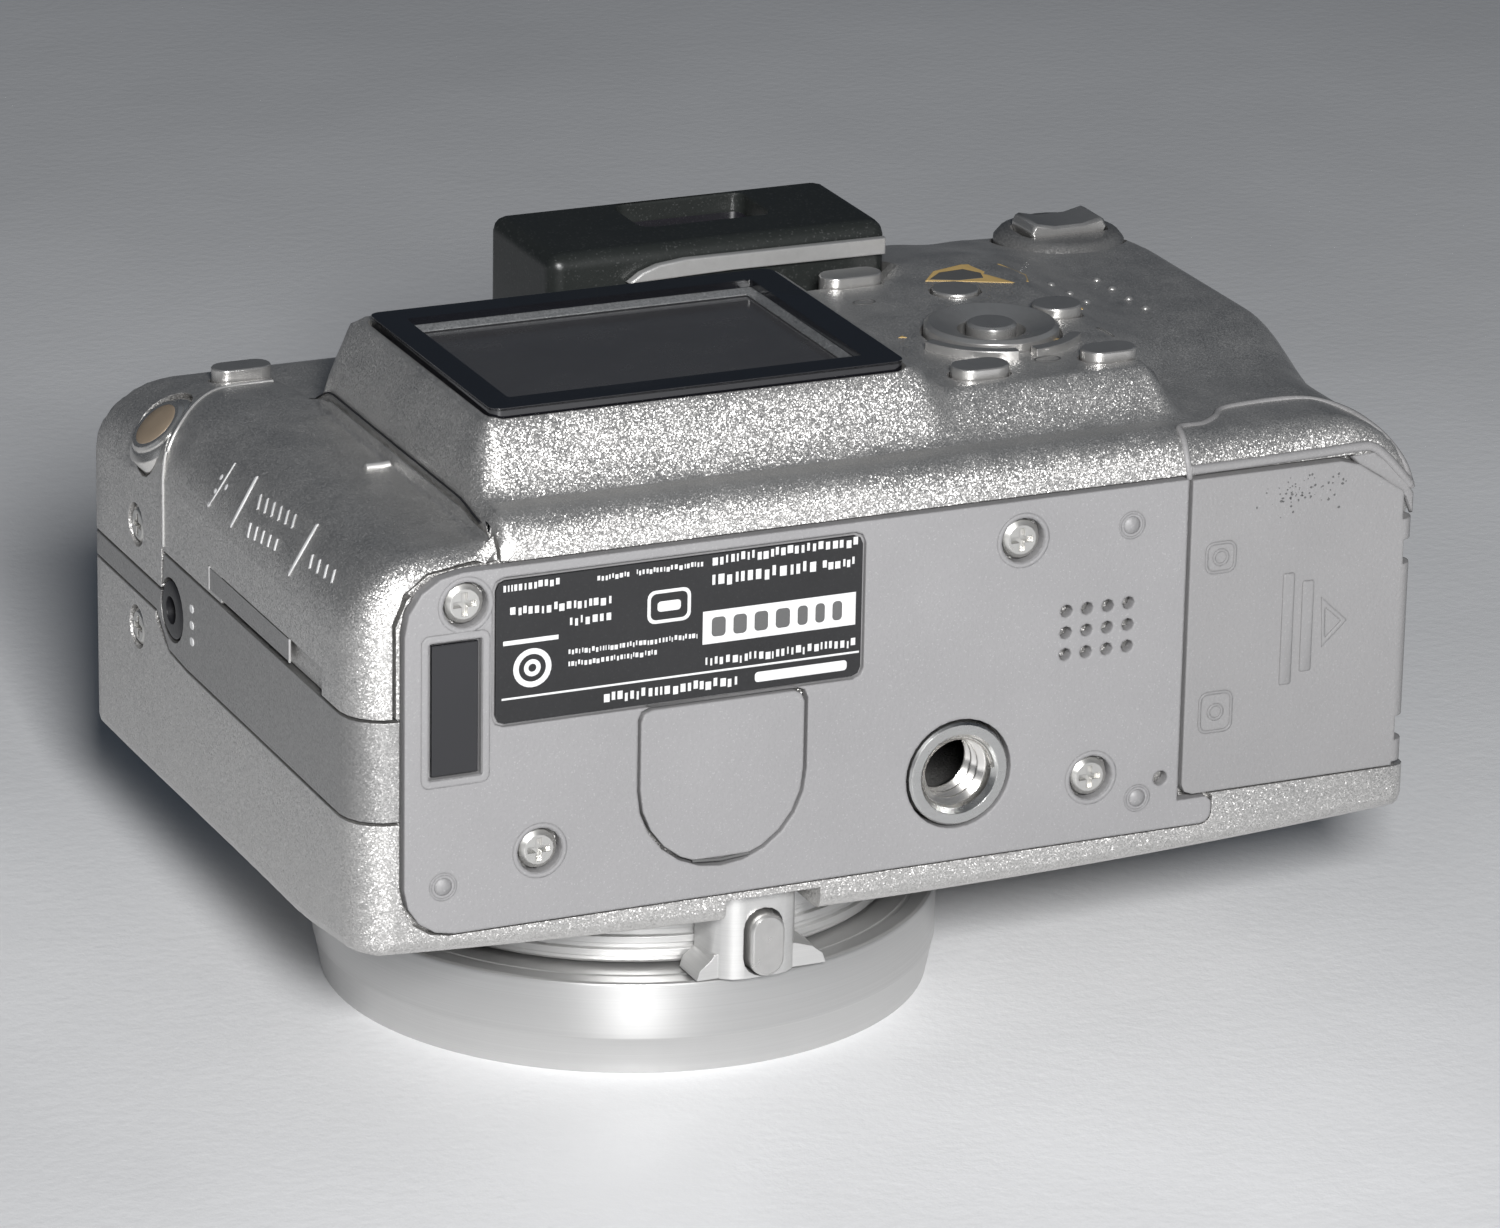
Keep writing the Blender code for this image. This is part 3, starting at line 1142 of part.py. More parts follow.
def release_post():
    """Post beside the lens with a flared foot, holding the ring's release button."""
    low = RING_HIGH + RING_TURN_GAP
    back = 7.7
    outline = rounded((POST_X - POST_HALF, POST_FRONT_Y), (POST_X + POST_HALF, back), (2.6, 2.6, 0.0, 0.0), 4)
    post = prism("release_post", outline, "Z", low, POST_TOP_Z, smooth=True)
    dressed(post, (0.60, 0.59, 0.57), 0.9, 0.3)
    wide = POST_FOOT_HALF
    middle = POST_X + POST_FOOT_SHIFT
    foot = [
        (middle - wide, low), (middle + wide, low), (middle + wide - 0.3, low + 0.9), (middle + wide - 1.3, low + 1.7),
        (POST_X + POST_HALF - 0.3, low + POST_FOOT_HIGH), (POST_X - POST_HALF + 0.3, low + POST_FOOT_HIGH),
        (middle - wide + 1.3, low + 1.7), (middle - wide + 0.3, low + 0.9),
    ]
    join(post, prism("release_foot", foot, "Y", POST_FOOT_Y, back))
    seat = release_outline(GAP)
    cut(post, prism("release_seat", seat, "Y", -5.0, POST_FRONT_Y + 2.6))
    return post


def release_outline(grow=0.0):
    half = RELEASE_HALF + grow
    return rounded((POST_X + 0.3 - half, RELEASE_LOW_Z - grow), (POST_X + 0.3 + half, RELEASE_HIGH_Z + grow),
                   (half - 0.02,) * 4, 4)


def release_button():
    button = prism("release_button", release_outline(), "Y", POST_FRONT_Y - RELEASE_PROUD,
                   POST_FRONT_Y + 2.6 - RELEASE_STROKE - GAP, smooth=True)
    return dressed(softened(button, 0.2, 1), (0.66, 0.65, 0.63), 0.9, 0.2)


def insides():
    right = BATTERY_BOX[0][0] - 6.6
    dressed(box("main_board", (COVER_EDGE_X + 1.0, 6.0, BOARD_Z), (right, CAVITY_STEP_Y - 1.0, BOARD_Z + BOARD_T)), (0.02, 0.16, 0.07))
    dressed(box("chassis_plate", (COVER_EDGE_X + 1.0, 6.0, CHASSIS_Z), (right, CAVITY_STEP_Y - 1.0, CHASSIS_Z + CHASSIS_T)), (0.5, 0.5, 0.5), 1.0)
    dressed(softened(box("battery_pack", *BATTERY_BOX), 0.8, 1), (0.05, 0.06, 0.09))
    dressed(softened(box("memory_card", *CARD_BOX), 0.3, 1), (0.12, 0.13, 0.30))
    middle = (SPEAKER_X + SPEAKER_PITCH * 1.5, SPEAKER_Z + SPEAKER_PITCH)
    low = FLOOR_Y + GAP
    profile = [(0.0, low + SPEAKER_T), (0.0, low), (SPEAKER_R, low), (SPEAKER_R, low + SPEAKER_T)]
    dressed(turned("speaker", profile, middle, "Y", 20), (0.03, 0.03, 0.03))


def settle():
    """Puts the middle of the whole camera's footprint on the origin and its foot at height zero."""
    bpy.context.view_layer.update()
    graph = bpy.context.evaluated_depsgraph_get()
    corners = []
    for thing in bpy.data.objects:
        if thing.hide_render:
            continue
        shown = thing.evaluated_get(graph)
        corners += [shown.matrix_world @ v.co for v in shown.data.vertices]
    low = Vector([min(c[k] for c in corners) for k in range(3)])
    high = Vector([max(c[k] for c in corners) for k in range(3)])
    shift = Vector((-(low.x + high.x) / 2, -(low.y + high.y) / 2, -low.z))
    for thing in bpy.data.objects:
        thing.location += shift


def main():
    clear_scene()
    front_shell()
    rear_shell()
    side_band()
    base_plate()
    service_cap()
    rating_label()
    dark_pad()
    tripod_socket()
    screws()
    battery_door()
    door_slider()
    connector_cover()
    connector_block()
    accessory_jack()
    strap_lug()
    screen()
    viewfinder()
    rear_buttons()
    control_pad()
    rocker_collar()
    zoom_rocker()
    mode_dial()
    top_buttons()
    hot_shoe()
    flash_head()
    front_fittings()
    lens_parts()
    release_post()
    release_button()
    insides()
    settle()


main()
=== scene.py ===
"""Looks for the compact camera: materials, fine detail, floor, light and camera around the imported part.

Millimetres are used for every size here and MM turns them into metres. The casing's own
coordinates have x = 0 at its middle, y = 0 at the base plate's face and z = 0 at the ring's foot.
"""

import math
import random

import bmesh
import bpy
import numpy as np
from mathutils import Matrix, Vector


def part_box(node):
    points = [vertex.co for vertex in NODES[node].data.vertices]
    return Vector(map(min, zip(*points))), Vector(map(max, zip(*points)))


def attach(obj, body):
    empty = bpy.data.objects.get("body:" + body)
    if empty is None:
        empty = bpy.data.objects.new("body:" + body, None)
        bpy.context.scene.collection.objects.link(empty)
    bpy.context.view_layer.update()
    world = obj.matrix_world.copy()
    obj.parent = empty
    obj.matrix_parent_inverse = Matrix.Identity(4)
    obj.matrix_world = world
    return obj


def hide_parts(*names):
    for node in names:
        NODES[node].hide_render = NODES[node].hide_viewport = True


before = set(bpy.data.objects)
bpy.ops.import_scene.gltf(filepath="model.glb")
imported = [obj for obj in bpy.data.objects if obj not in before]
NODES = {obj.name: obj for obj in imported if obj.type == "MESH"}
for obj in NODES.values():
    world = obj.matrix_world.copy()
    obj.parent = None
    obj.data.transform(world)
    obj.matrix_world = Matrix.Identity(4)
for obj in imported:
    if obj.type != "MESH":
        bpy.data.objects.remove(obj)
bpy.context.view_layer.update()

MM = 0.001
PLATE_CORNER = Vector((-44.8, 0.0, 18.2))
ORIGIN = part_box("base_plate")[0] / MM - PLATE_CORNER


# ---------------------------------------------------------------- casing surface
HALF_WIDTH = 49.0
BASE_Y = 0.4
TOP_Y = 66.3
FRONT_Z = 15.1
FRONT_CROWN = 0.5
FRONT_BASE_LIFT = 1.2
FRONT_TOP_DROP = 0.4
FRONT_EDGE = 1.2
LEFT_Z = 51.0
REAR_Z = 53.5
PLATEAU_Z = 59.3
CONTROL_Z = 57.0
THUMB_Z = 54.5
NORTH_Z = 49.2
WRAP_Z = 52.8
COVER_EDGE_X = -36.4
SLOPE_LOW_Y = 5.1
SLOPE_HIGH_Y = 9.6
LEFT_EDGE = 7.0
BASE_EDGE = 3.4
RIGHT_EDGE = 4.2
DOOR_EDGE = 8.0
TOP_EDGE = 9.0
CORNER_BASE_LEFT = 3.8
CORNER_BASE_RIGHT = 1.2
CORNER_TOP = 2.2
LENS = (-11.63, 31.7)


def ease(low, high, value):
    share = np.clip((value - low) / (high - low), 0.0, 1.0)
    return share * share * (3 - 2 * share)


def ramp(low, high, value):
    share = np.clip((value - low) / (high - low), 0.0, 1.0)
    return 0.55 * share + 0.45 * share * share * (3 - 2 * share)


def rear_height(x, y):
    """Height of the back before its outer edges are rounded, as the CAD casing has it."""
    left = ease(COVER_EDGE_X - 0.5, COVER_EDGE_X + 1.0, x)
    ground = LEFT_Z + (REAR_Z - LEFT_Z) * left
    ground = ground + (WRAP_Z - REAR_Z) * ease(25.0, 31.0, x)
    north = ease(39.0, 46.0, y) * (1.0 - ease(14.0, 22.0, x))
    ground = ground + (NORTH_Z - REAR_Z) * north * left
    ground = ground + (NORTH_Z - LEFT_Z) * ease(44.0, 60.0, y) * (1.0 - left)
    thumb = ease(27.0, 33.0, x) * ease(14.0, 30.0, y)
    ground = ground + (THUMB_Z - WRAP_Z) * thumb - 1.2 * ease(48.0, 62.0, y) * thumb
    peak = PLATEAU_Z + (CONTROL_Z - PLATEAU_Z) * ease(5.0, 8.0, x)
    south = ramp(SLOPE_LOW_Y, SLOPE_HIGH_Y, y)
    west = ramp(COVER_EDGE_X - 0.2, COVER_EDGE_X + 2.4, x)
    far = 1.0 - ease(39.0, 44.5, y) * (1.0 - ease(13.0, 19.5, x))
    falling = 1.0 - ease(41.0, 64.0, y) * ease(13.0, 19.5, x)
    east = 1.0 - ease(26.8, 29.8 + 7.0 * ease(13.0, 26.0, y), x)
    return ground + np.maximum(0.0, peak - ground) * south * west * far * falling * east


def front_height(x, y):
    bow = (x / HALF_WIDTH) ** 2
    lift = FRONT_BASE_LIFT * bow * (1.0 - ease(0.0, 16.0, y))
    return FRONT_Z + FRONT_CROWN * bow + lift - FRONT_TOP_DROP * bow * ease(20.0, 62.0, y)


def edge_drop(distance, radius):
    inward = radius - np.clip(distance, 0.0, radius)
    return radius - np.sqrt(np.maximum(0.0, radius * radius - inward * inward))


def corner_reach(y):
    low = y - BASE_Y
    high = TOP_Y - y
    top = edge_drop(high, CORNER_TOP)
    return edge_drop(low, CORNER_BASE_LEFT) + top, edge_drop(low, CORNER_BASE_RIGHT) + top


def rear_skin(x, y):
    """Height of the rounded back at x and y."""
    left, right = corner_reach(y)
    right_edge = DOOR_EDGE + (RIGHT_EDGE - DOOR_EDGE) * ease(16.0, 30.0, y)
    drops = (
        edge_drop(x + HALF_WIDTH - left, LEFT_EDGE),
        edge_drop(HALF_WIDTH - right - x, right_edge),
        edge_drop(y - BASE_Y, BASE_EDGE),
        edge_drop(TOP_Y - y, TOP_EDGE),
    )
    return rear_height(x, y) - np.sqrt(sum(d * d for d in drops))


def front_skin(x, y):
    left, right = corner_reach(y)
    near = np.minimum.reduce([x + HALF_WIDTH - left, HALF_WIDTH - right - x, y - BASE_Y, TOP_Y - y])
    return front_height(x, y) + edge_drop(near, FRONT_EDGE)


# ---------------------------------------------------------------- materials
def wire(tree, kind, settings=None, **inputs):
    """Adds a node, sets its properties, and sets or links each input named (spaces as underscores)."""
    made = tree.nodes.new(kind)
    for key, value in (settings or {}).items():
        setattr(made, key, value)
    for key, value in inputs.items():
        numbered = key[0] == "i" and key[1:].isdigit()
        socket = made.inputs[int(key[1:]) if numbered else key.replace("_", " ")]
        if isinstance(value, bpy.types.NodeSocket):
            tree.links.new(value, socket)
        else:
            socket.default_value = value
    return made


def blank(name, colour, metal, rough, **sockets):
    """A material with its Principled shader set, and the object's own coordinates ready to use."""
    material = bpy.data.materials.new(name)
    material.use_nodes = True
    tree = material.node_tree
    shader = tree.nodes["Principled BSDF"]
    shader.inputs["Base Color"].default_value = (*colour, 1.0)
    shader.inputs["Metallic"].default_value = metal
    shader.inputs["Roughness"].default_value = rough
    for key, value in sockets.items():
        shader.inputs[key.replace("_", " ")].default_value = value
    place = tree.nodes.new("ShaderNodeTexCoord").outputs["Object"]
    return material, tree, shader, place


def shade(tree, value, low, high, dark, light):
    """Maps a 0 to 1 value between low and high to a colour between dark and light."""
    made = tree.nodes.new("ShaderNodeValToRGB")
    made.color_ramp.elements[0].position = low
    made.color_ramp.elements[1].position = high
    made.color_ramp.elements[0].color = (*dark, 1.0)
    made.color_ramp.elements[1].color = (*light, 1.0)
    tree.links.new(value, made.inputs["Fac"])
    return made.outputs["Color"]


def spread(tree, value, low, high, to_low, to_high):
    made = wire(tree, "ShaderNodeMapRange", i0=value, i1=low, i2=high, i3=to_low, i4=to_high)
    return made.outputs["Result"]


def noise(tree, place, scale, detail=3.0, rough=0.5):
    made = wire(tree, "ShaderNodeTexNoise", Vector=place, Scale=scale, Detail=detail, Roughness=rough)
    return made.outputs["Fac"]


def weighted(tree, value, weight, rest=0.0):
    """value * weight + rest"""
    made = wire(tree, "ShaderNodeMath", {"operation": "MULTIPLY_ADD"}, i0=value, i1=weight, i2=rest)
    return made.outputs[0]


def vector_math(tree, kind, **inputs):
    return wire(tree, "ShaderNodeVectorMath", {"operation": kind}, **inputs).outputs[0]


def scaled(colour, factor):
    return tuple(min(1.0, c * factor) for c in colour)


def rounded_edges(tree, radius=0.12):
    made = wire(tree, "ShaderNodeBevel", {"samples": 4}, Radius=radius * MM)
    return made.outputs["Normal"]


def flake(name, colour, metal, rough, size=0.26, tilt=0.5, glow=0.5, wear=0.06):
    """Lacquer with metal flakes: every small cell leans its own way and has its own brightness."""
    material, tree, shader, place = blank(name, colour, metal, rough, Coat_Weight=0.25, Coat_Roughness=0.22)
    cells = wire(tree, "ShaderNodeTexVoronoi", {"feature": "F1"}, Vector=place, Scale=1.0 / (size * MM))
    lean = vector_math(tree, "SUBTRACT", i0=cells.outputs["Color"], i1=(0.5, 0.5, 0.5))
    lean = vector_math(tree, "SCALE", i0=lean, Scale=tilt)
    total = vector_math(tree, "ADD", i0=rounded_edges(tree), i1=lean)
    tree.links.new(vector_math(tree, "NORMALIZE", i0=total), shader.inputs["Normal"])
    split = wire(tree, "ShaderNodeSeparateColor", Color=cells.outputs["Color"])
    cloud = noise(tree, place, 90.0, 4.0)
    mixed = weighted(tree, cloud, 0.25, weighted(tree, split.outputs["Red"], 0.75))
    dark, light = scaled(colour, 1.0 - glow), scaled(colour, 1.0 + glow)
    tree.links.new(shade(tree, mixed, 0.15, 0.9, dark, light), shader.inputs["Base Color"])
    smear = noise(tree, place, 240.0, 5.0, 0.6)
    tree.links.new(spread(tree, smear, 0.3, 0.7, rough - wear, rough + wear), shader.inputs["Roughness"])
    return material


def plastic(name, colour, rough, grain=0.35, depth=0.06, dust_and_glints=0.0, spread_by=0.05, metal=0.0, edge=0.12,
        coat=0.0):
    """Moulded plastic: fine grain in the surface, faint mottling, and light specks mixed into the colour,
    partly dust and partly painted glints.
    """
    material, tree, shader, place = blank(name, colour, metal, rough, Coat_Weight=coat, Coat_Roughness=0.1)
    fine = noise(tree, place, 1.0 / (grain * MM), 2.0)
    broad = noise(tree, place, 70.0, 5.0, 0.6)
    tone = weighted(tree, broad, 0.65, weighted(tree, fine, 0.35))
    dark, light = scaled(colour, 1.0 - spread_by), scaled(colour, 1.0 + spread_by)
    base = shade(tree, tone, 0.3, 0.7, dark, light)
    if dust_and_glints:
        # Light specks: a few random cells have their base colour mixed towards white, as dust and as painted
        # glints.
        cells = wire(tree, "ShaderNodeTexVoronoi", {"feature": "F1"}, Vector=place, Scale=1.0 / (0.13 * MM))
        split = wire(tree, "ShaderNodeSeparateColor", Color=cells.outputs["Color"])
        bright = spread(tree, split.outputs["Green"], 0.93, 0.99, 0.0, dust_and_glints)
        mixed = wire(tree, "ShaderNodeMix", {"data_type": "RGBA"}, Factor=bright)
        tree.links.new(base, mixed.inputs[6])
        mixed.inputs[7].default_value = (0.95, 0.95, 0.95, 1.0)
        base = mixed.outputs[2]
    tree.links.new(base, shader.inputs["Base Color"])
    tree.links.new(spread(tree, broad, 0.3, 0.7, rough - 0.06, rough + 0.06), shader.inputs["Roughness"])
    bump = wire(tree, "ShaderNodeBump", Strength=1.0, Distance=depth * MM, Height=fine,
        Normal=rounded_edges(tree, edge))
    tree.links.new(bump.outputs["Normal"], shader.inputs["Normal"])
    return material


def metal(name, colour, rough, lines=None, depth=0.01, smudge=0.08, edge=0.08, share=1.0):
    """Bare metal; lines says how fast turning or brushing marks vary along x, y and z."""
    material, tree, shader, place = blank(name, colour, share, rough)
    stretched = wire(tree, "ShaderNodeMapping", Vector=place, Scale=lines or (900.0, 900.0, 900.0))
    marks = noise(tree, stretched.outputs["Vector"], 1.0, 4.0, 0.7)
    broad = noise(tree, place, 160.0, 5.0, 0.65)
    tree.links.new(shade(tree, marks, 0.25, 0.75, scaled(colour, 0.93), scaled(colour, 1.05)),
        shader.inputs["Base Color"])
    tree.links.new(spread(tree, broad, 0.3, 0.7, max(0.03, rough - smudge), rough + smudge),
        shader.inputs["Roughness"])
    bump = wire(tree, "ShaderNodeBump", Strength=0.6, Distance=depth * MM, Height=marks,
        Normal=rounded_edges(tree, edge))
    tree.links.new(bump.outputs["Normal"], shader.inputs["Normal"])
    return material


def glassy(name, colour, rough, alpha=1.0, tint=None):
    """Clear or dark window with faint smears; alpha below 1 lets what is behind it show."""
    material, tree, shader, place = blank(name, colour, 0.0, rough, Alpha=alpha, Coat_Weight=1.0,
        Coat_Roughness=0.03)
    smear = noise(tree, place, 120.0, 6.0, 0.7)
    tree.links.new(spread(tree, smear, 0.45, 0.75, rough, rough + 0.12), shader.inputs["Roughness"])
    tree.links.new(shade(tree, smear, 0.35, 0.8, colour, tint or scaled(colour, 1.5)),
        shader.inputs["Base Color"])
    return material


LACQUER = flake("silver_lacquer", (0.575, 0.565, 0.552), 0.86, 0.46, 0.095, 0.66, 0.04)
BAND = flake("band_lacquer", (0.36, 0.355, 0.35), 0.85, 0.48, 0.11, 0.4, 0.04)
COLLAR = flake("collar_lacquer", (0.30, 0.295, 0.29), 0.7, 0.36, 0.12, 0.3, 0.06)
PLATE = plastic("plate_plastic", (0.268, 0.264, 0.268), 0.5, 0.28, 0.035, 0.07, 0.05, 0.12, 0.3)
DOOR = plastic("door_plastic", (0.250, 0.246, 0.248), 0.5, 0.28, 0.035, 0.05, 0.05, 0.12, 0.3)
BLACK = plastic("black_plastic", (0.016, 0.018, 0.017), 0.36, 0.3, 0.012, 0.03, 0.15, 0.0, 0.25)
GLOSS_BLACK = plastic("gloss_black", (0.006, 0.006, 0.008), 0.12, 0.5, 0.002, 0.0, 0.2, 0.0, 0.2, 1.0)
SOCKET = plastic("socket_black", (0.012, 0.012, 0.014), 0.35, 0.3, 0.02)
GRIP = plastic("grip_rubber", (0.06, 0.06, 0.062), 0.65, 0.45, 0.14, 0.0, 0.2)
PLATED = metal("satin_plated", (0.56, 0.552, 0.54), 0.3, (900.0, 900.0, 900.0), 0.003, 0.04, 0.15, 0.82)
RING = metal("turned_ring", (0.55, 0.548, 0.543), 0.33, (20.0, 20.0, 9000.0), 0.003, 0.015, 0.1, 0.8)
BARREL = metal("satin_barrel", (0.55, 0.547, 0.54), 0.38, (20.0, 20.0, 7000.0), 0.002, 0.02, 0.12, 0.6)
STEEL = metal("plain_steel", (0.60, 0.60, 0.59), 0.3, (400.0, 400.0, 4000.0), 0.006)
SCREW = metal("screw_steel", (0.62, 0.612, 0.59), 0.3, None, 0.006, 0.08, 0.1, 0.85)
CHROME = metal("bright_chrome", (0.80, 0.78, 0.75), 0.2, None, 0.002, 0.05, 0.2, 0.9)
BRONZE = metal("warm_face", (0.47, 0.37, 0.27), 0.4, None, 0.004, 0.06, 0.15, 0.55)
BRASS = metal("worn_brass", (0.62, 0.43, 0.17), 0.55, None, 0.004, 0.1, 0.1, 0.1)
LABEL = plastic("label_black", (0.017, 0.017, 0.018), 0.22, 0.3, 0.002, 0.008, 0.2)
PRINT = plastic("white_print", (0.68, 0.68, 0.68), 0.5, 0.2, 0.004, 0.0, 0.06)
DARK_PRINT = plastic("dark_print", (0.10, 0.10, 0.10), 0.5, 0.2, 0.004, 0.0, 0.1)
PANE = glassy("clear_pane", (0.012, 0.013, 0.016), 0.05, 0.10)
DISPLAY = glassy("display_face", (0.085, 0.082, 0.084), 0.22, 1.0, (0.10, 0.098, 0.10))
FRAME_SILVER = flake("frame_silver", (0.30, 0.305, 0.31), 0.5, 0.5, 0.12, 0.5, 0.2)
SATIN = metal("satin_trim", (0.60, 0.595, 0.585), 0.36, None, 0.002, 0.03, 0.2, 0.6)
PANE_SOLID = glassy("flash_lens", (0.62, 0.64, 0.66), 0.12)
OPTIC = glassy("coated_glass", (0.012, 0.013, 0.02), 0.04, 1.0, (0.03, 0.016, 0.035))
LAMP = glassy("red_lamp", (0.30, 0.02, 0.015), 0.08, 1.0, (0.42, 0.04, 0.03))
BOARD = plastic("board_green", (0.015, 0.12, 0.05), 0.45, 0.6, 0.05, 0.3, 0.3)
CELL = plastic("cell_wrap", (0.04, 0.05, 0.08), 0.4, 0.4, 0.02, 0.0, 0.2)
CARD = plastic("card_blue", (0.08, 0.09, 0.26), 0.4, 0.4, 0.02, 0.0, 0.2)

FINISH = {
    "front_shell": LACQUER, "rear_shell": LACQUER, "connector_cover": LACQUER, "flash_head": LACQUER,
    "side_band": BAND, "rocker_collar": COLLAR, "base_plate": PLATE, "service_cap": PLATE,
        "battery_door": DOOR,
    "door_slider": STEEL, "rating_label": LABEL, "dark_pad": GLOSS_BLACK, "tripod_socket": STEEL,
    "connector_block": SOCKET, "accessory_jack": SOCKET, "strap_lug": CHROME, "lcd_window": GLOSS_BLACK,
    "lcd_module": DISPLAY, "viewfinder_housing": BLACK, "eyepiece_glass": OPTIC, "finder_front_glass": OPTIC,
    "focus_lamp": LAMP, "control_pad": PLATED, "zoom_rocker": PLATED, "mode_dial": BARREL, "hot_shoe": STEEL,
    "finger_grip": GRIP, "lens_ring": RING, "lens_flange": BARREL, "lens_sleeve": SOCKET,
        "outer_barrel": BARREL,
    "inner_barrel": BLACK, "lens_glass": OPTIC, "release_post": BARREL, "release_button": PLATED,
    "main_board": BOARD, "chassis_plate": STEEL, "battery_pack": CELL, "memory_card": CARD, "speaker": SOCKET,
}


def finish_of(node):
    if node in FINISH:
        return FINISH[node]
    return SCREW if "screw" in node else PLATED


def dress(thing, material):
    """Gives every material slot of a CAD node's object the same finish."""
    if not thing.material_slots:
        thing.data.materials.append(None)
    for slot in thing.material_slots:
        slot.link = "OBJECT"
        slot.material = material


def shading_group():
    """Node group of a modifier that shades faces smooth and leaves the CAD mesh itself as it is."""
    group = bpy.data.node_groups.new("shade_smooth", "GeometryNodeTree")
    for way in ("INPUT", "OUTPUT"):
        group.interface.new_socket("Geometry", in_out=way, socket_type="NodeSocketGeometry")
    entry = group.nodes.new("NodeGroupInput")
    smooth = group.nodes.new("GeometryNodeSetShadeSmooth")
    leave = group.nodes.new("NodeGroupOutput")
    group.links.new(entry.outputs[0], smooth.inputs["Geometry"])
    group.links.new(smooth.outputs[0], leave.inputs[0])
    return group


# ---------------------------------------------------------------- CAD nodes: edges and shading
BEVELS = {
    "base_plate": 0.3, "battery_door": 0.35, "service_cap": 0.12, "hot_shoe": 0.15, "flash_head": 0.3,
    "release_post": 0.35, "mode_dial": 0.1, "rating_label": 0.04, "viewfinder_housing": 0.25,
}
SHADING = shading_group()
for name, thing in NODES.items():
    dress(thing, finish_of(name))
    thing.modifiers.new("smooth", "NODES").node_group = SHADING
    weld = thing.modifiers.new("weld", "WELD")
    weld.merge_threshold = 1e-6
    if name in BEVELS:
        flat = thing.modifiers.new("flatten", "DECIMATE")
        flat.decimate_type = "DISSOLVE"
        flat.angle_limit = math.radians(0.5)
        bevel = thing.modifiers.new("edge", "BEVEL")
        bevel.width = BEVELS[name] * MM
        bevel.segments = 2
        bevel.limit_method = "ANGLE"
        bevel.angle_limit = math.radians(50.0)
    split = thing.modifiers.new("creases", "EDGE_SPLIT")
    split.split_angle = math.radians(34.0)
    thing.modifiers.new("flats", "WEIGHTED_NORMAL").weight = 90


# ---------------------------------------------------------------- smooth skins over the casing's CAD nodes
SKIN_EDGE = 1.7
ON_SKIN = 0.3
STEEPEST = 0.3


def skin_normals(surface, side, x, y):
    """Outward normals of a height surface, from small steps that stay inside its outline."""
    step = 0.04
    left, right = corner_reach(y)
    x = np.clip(x, -HALF_WIDTH + left + 2 * step, HALF_WIDTH - right - 2 * step)
    y = np.clip(y, BASE_Y + 2 * step, TOP_Y - 2 * step)
    across = (surface(x + step, y) - surface(x - step, y)) / (2 * step)
    along = (surface(x, y + step) - surface(x, y - step)) / (2 * step)
    normals = np.stack([-across * side, -along * side, np.full_like(x, side)], axis=1)
    return normals / np.linalg.norm(normals, axis=1)[:, None]


BUTTONS = (
    "display_button", "lock_button", "focus_button", "menu_button", "review_button", "flash_button",
        "control_pad",
)
POCKETS = [[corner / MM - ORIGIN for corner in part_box(node)] for node in BUTTONS]


def in_pocket(place, margin=0.25):
    """Whether a place is over a button; faces there aren't marked as skin."""
    return any(
        low.x - margin < place[0] < high.x + margin and low.y - margin < place[1] < high.y + margin
        for low, high in POCKETS
    )


def cad_points(shape):
    return np.array([v.co for v in shape.verts], float).reshape(-1, 3) / MM - np.array(ORIGIN)


def smooth_skin(node, body, surface, side):
    """A finer copy of a CAD node whose outer skin follows the curved surface and is shaded by it."""
    shape = bmesh.new()
    shape.from_mesh(NODES[node].data)
    bmesh.ops.remove_doubles(shape, verts=shape.verts, dist=2e-6)
    bmesh.ops.dissolve_degenerate(shape, dist=1e-6, edges=shape.edges)
    points = cad_points(shape)
    off = np.abs(points[:, 2] - surface(points[:, 0], points[:, 1]))
    shape.verts.ensure_lookup_table()
    shape.verts.index_update()
    mark = shape.faces.layers.int.new("skin")
    for face in shape.faces:
        face.normal_update()
        corners = [v.index for v in face.verts]
        middle = points[corners].mean(0)
        if in_pocket(middle):
            continue
        if max(off[corners]) < ON_SKIN and abs(middle[2] - surface(middle[0], middle[1])) < 2 * ON_SKIN:
            facing = skin_normals(surface, side, middle[:1], middle[1:2])[0]
            face[mark] = int(np.dot(facing, face.normal) > 0.7)
    for _ in range(5):
        long_edges = [
            e for e in shape.edges
            if e.calc_length() > SKIN_EDGE * MM and any(f[mark] for f in e.link_faces)
        ]
        if not long_edges:
            break
        bmesh.ops.subdivide_edges(shape, edges=long_edges, cuts=1)
        bmesh.ops.triangulate(shape, faces=[f for f in shape.faces if len(f.verts) > 3])
    points = cad_points(shape)
    heights = surface(points[:, 0], points[:, 1])
    normals = skin_normals(surface, side, points[:, 0], points[:, 1])
    shape.verts.index_update()
    for vert in shape.verts:
        i = vert.index
        near = abs(points[i, 2] - heights[i]) < 2 * ON_SKIN
        if near and abs(normals[i, 2]) > STEEPEST and any(f[mark] for f in vert.link_faces):
            vert.co.z = (heights[i] + ORIGIN.z) * MM
    for edge in shape.edges:
        faces = edge.link_faces
        edge.smooth = len(faces) == 2 and faces[0].normal.angle(faces[1].normal, 0.0) < math.radians(32.0)
    for face in shape.faces:
        face.smooth = True
    made = bpy.data.meshes.new(node + "_skin")
    shape.to_mesh(made)
    on_skin = [bool(f[mark]) for f in shape.faces]
    shape.free()
    corner_normals = []
    for polygon, skinned in zip(made.polygons, on_skin):
        for corner in polygon.vertices:
            corner_normals.append(tuple(normals[corner]) if skinned else (0.0, 0.0, 0.0))
    made.normals_split_custom_set(corner_normals)
    return finish_piece(node + "_skin", made, finish_of(node), body, replaced=(node,))


# ---------------------------------------------------------------- building small pieces
def finish_piece(name, mesh, material, body, replaced=()):
    piece = bpy.data.objects.new(name, mesh)
    bpy.context.scene.collection.objects.link(piece)
    mesh.materials.clear()
    mesh.materials.append(material)
    if replaced:
        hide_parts(*replaced)
    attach(piece, body)
    return piece


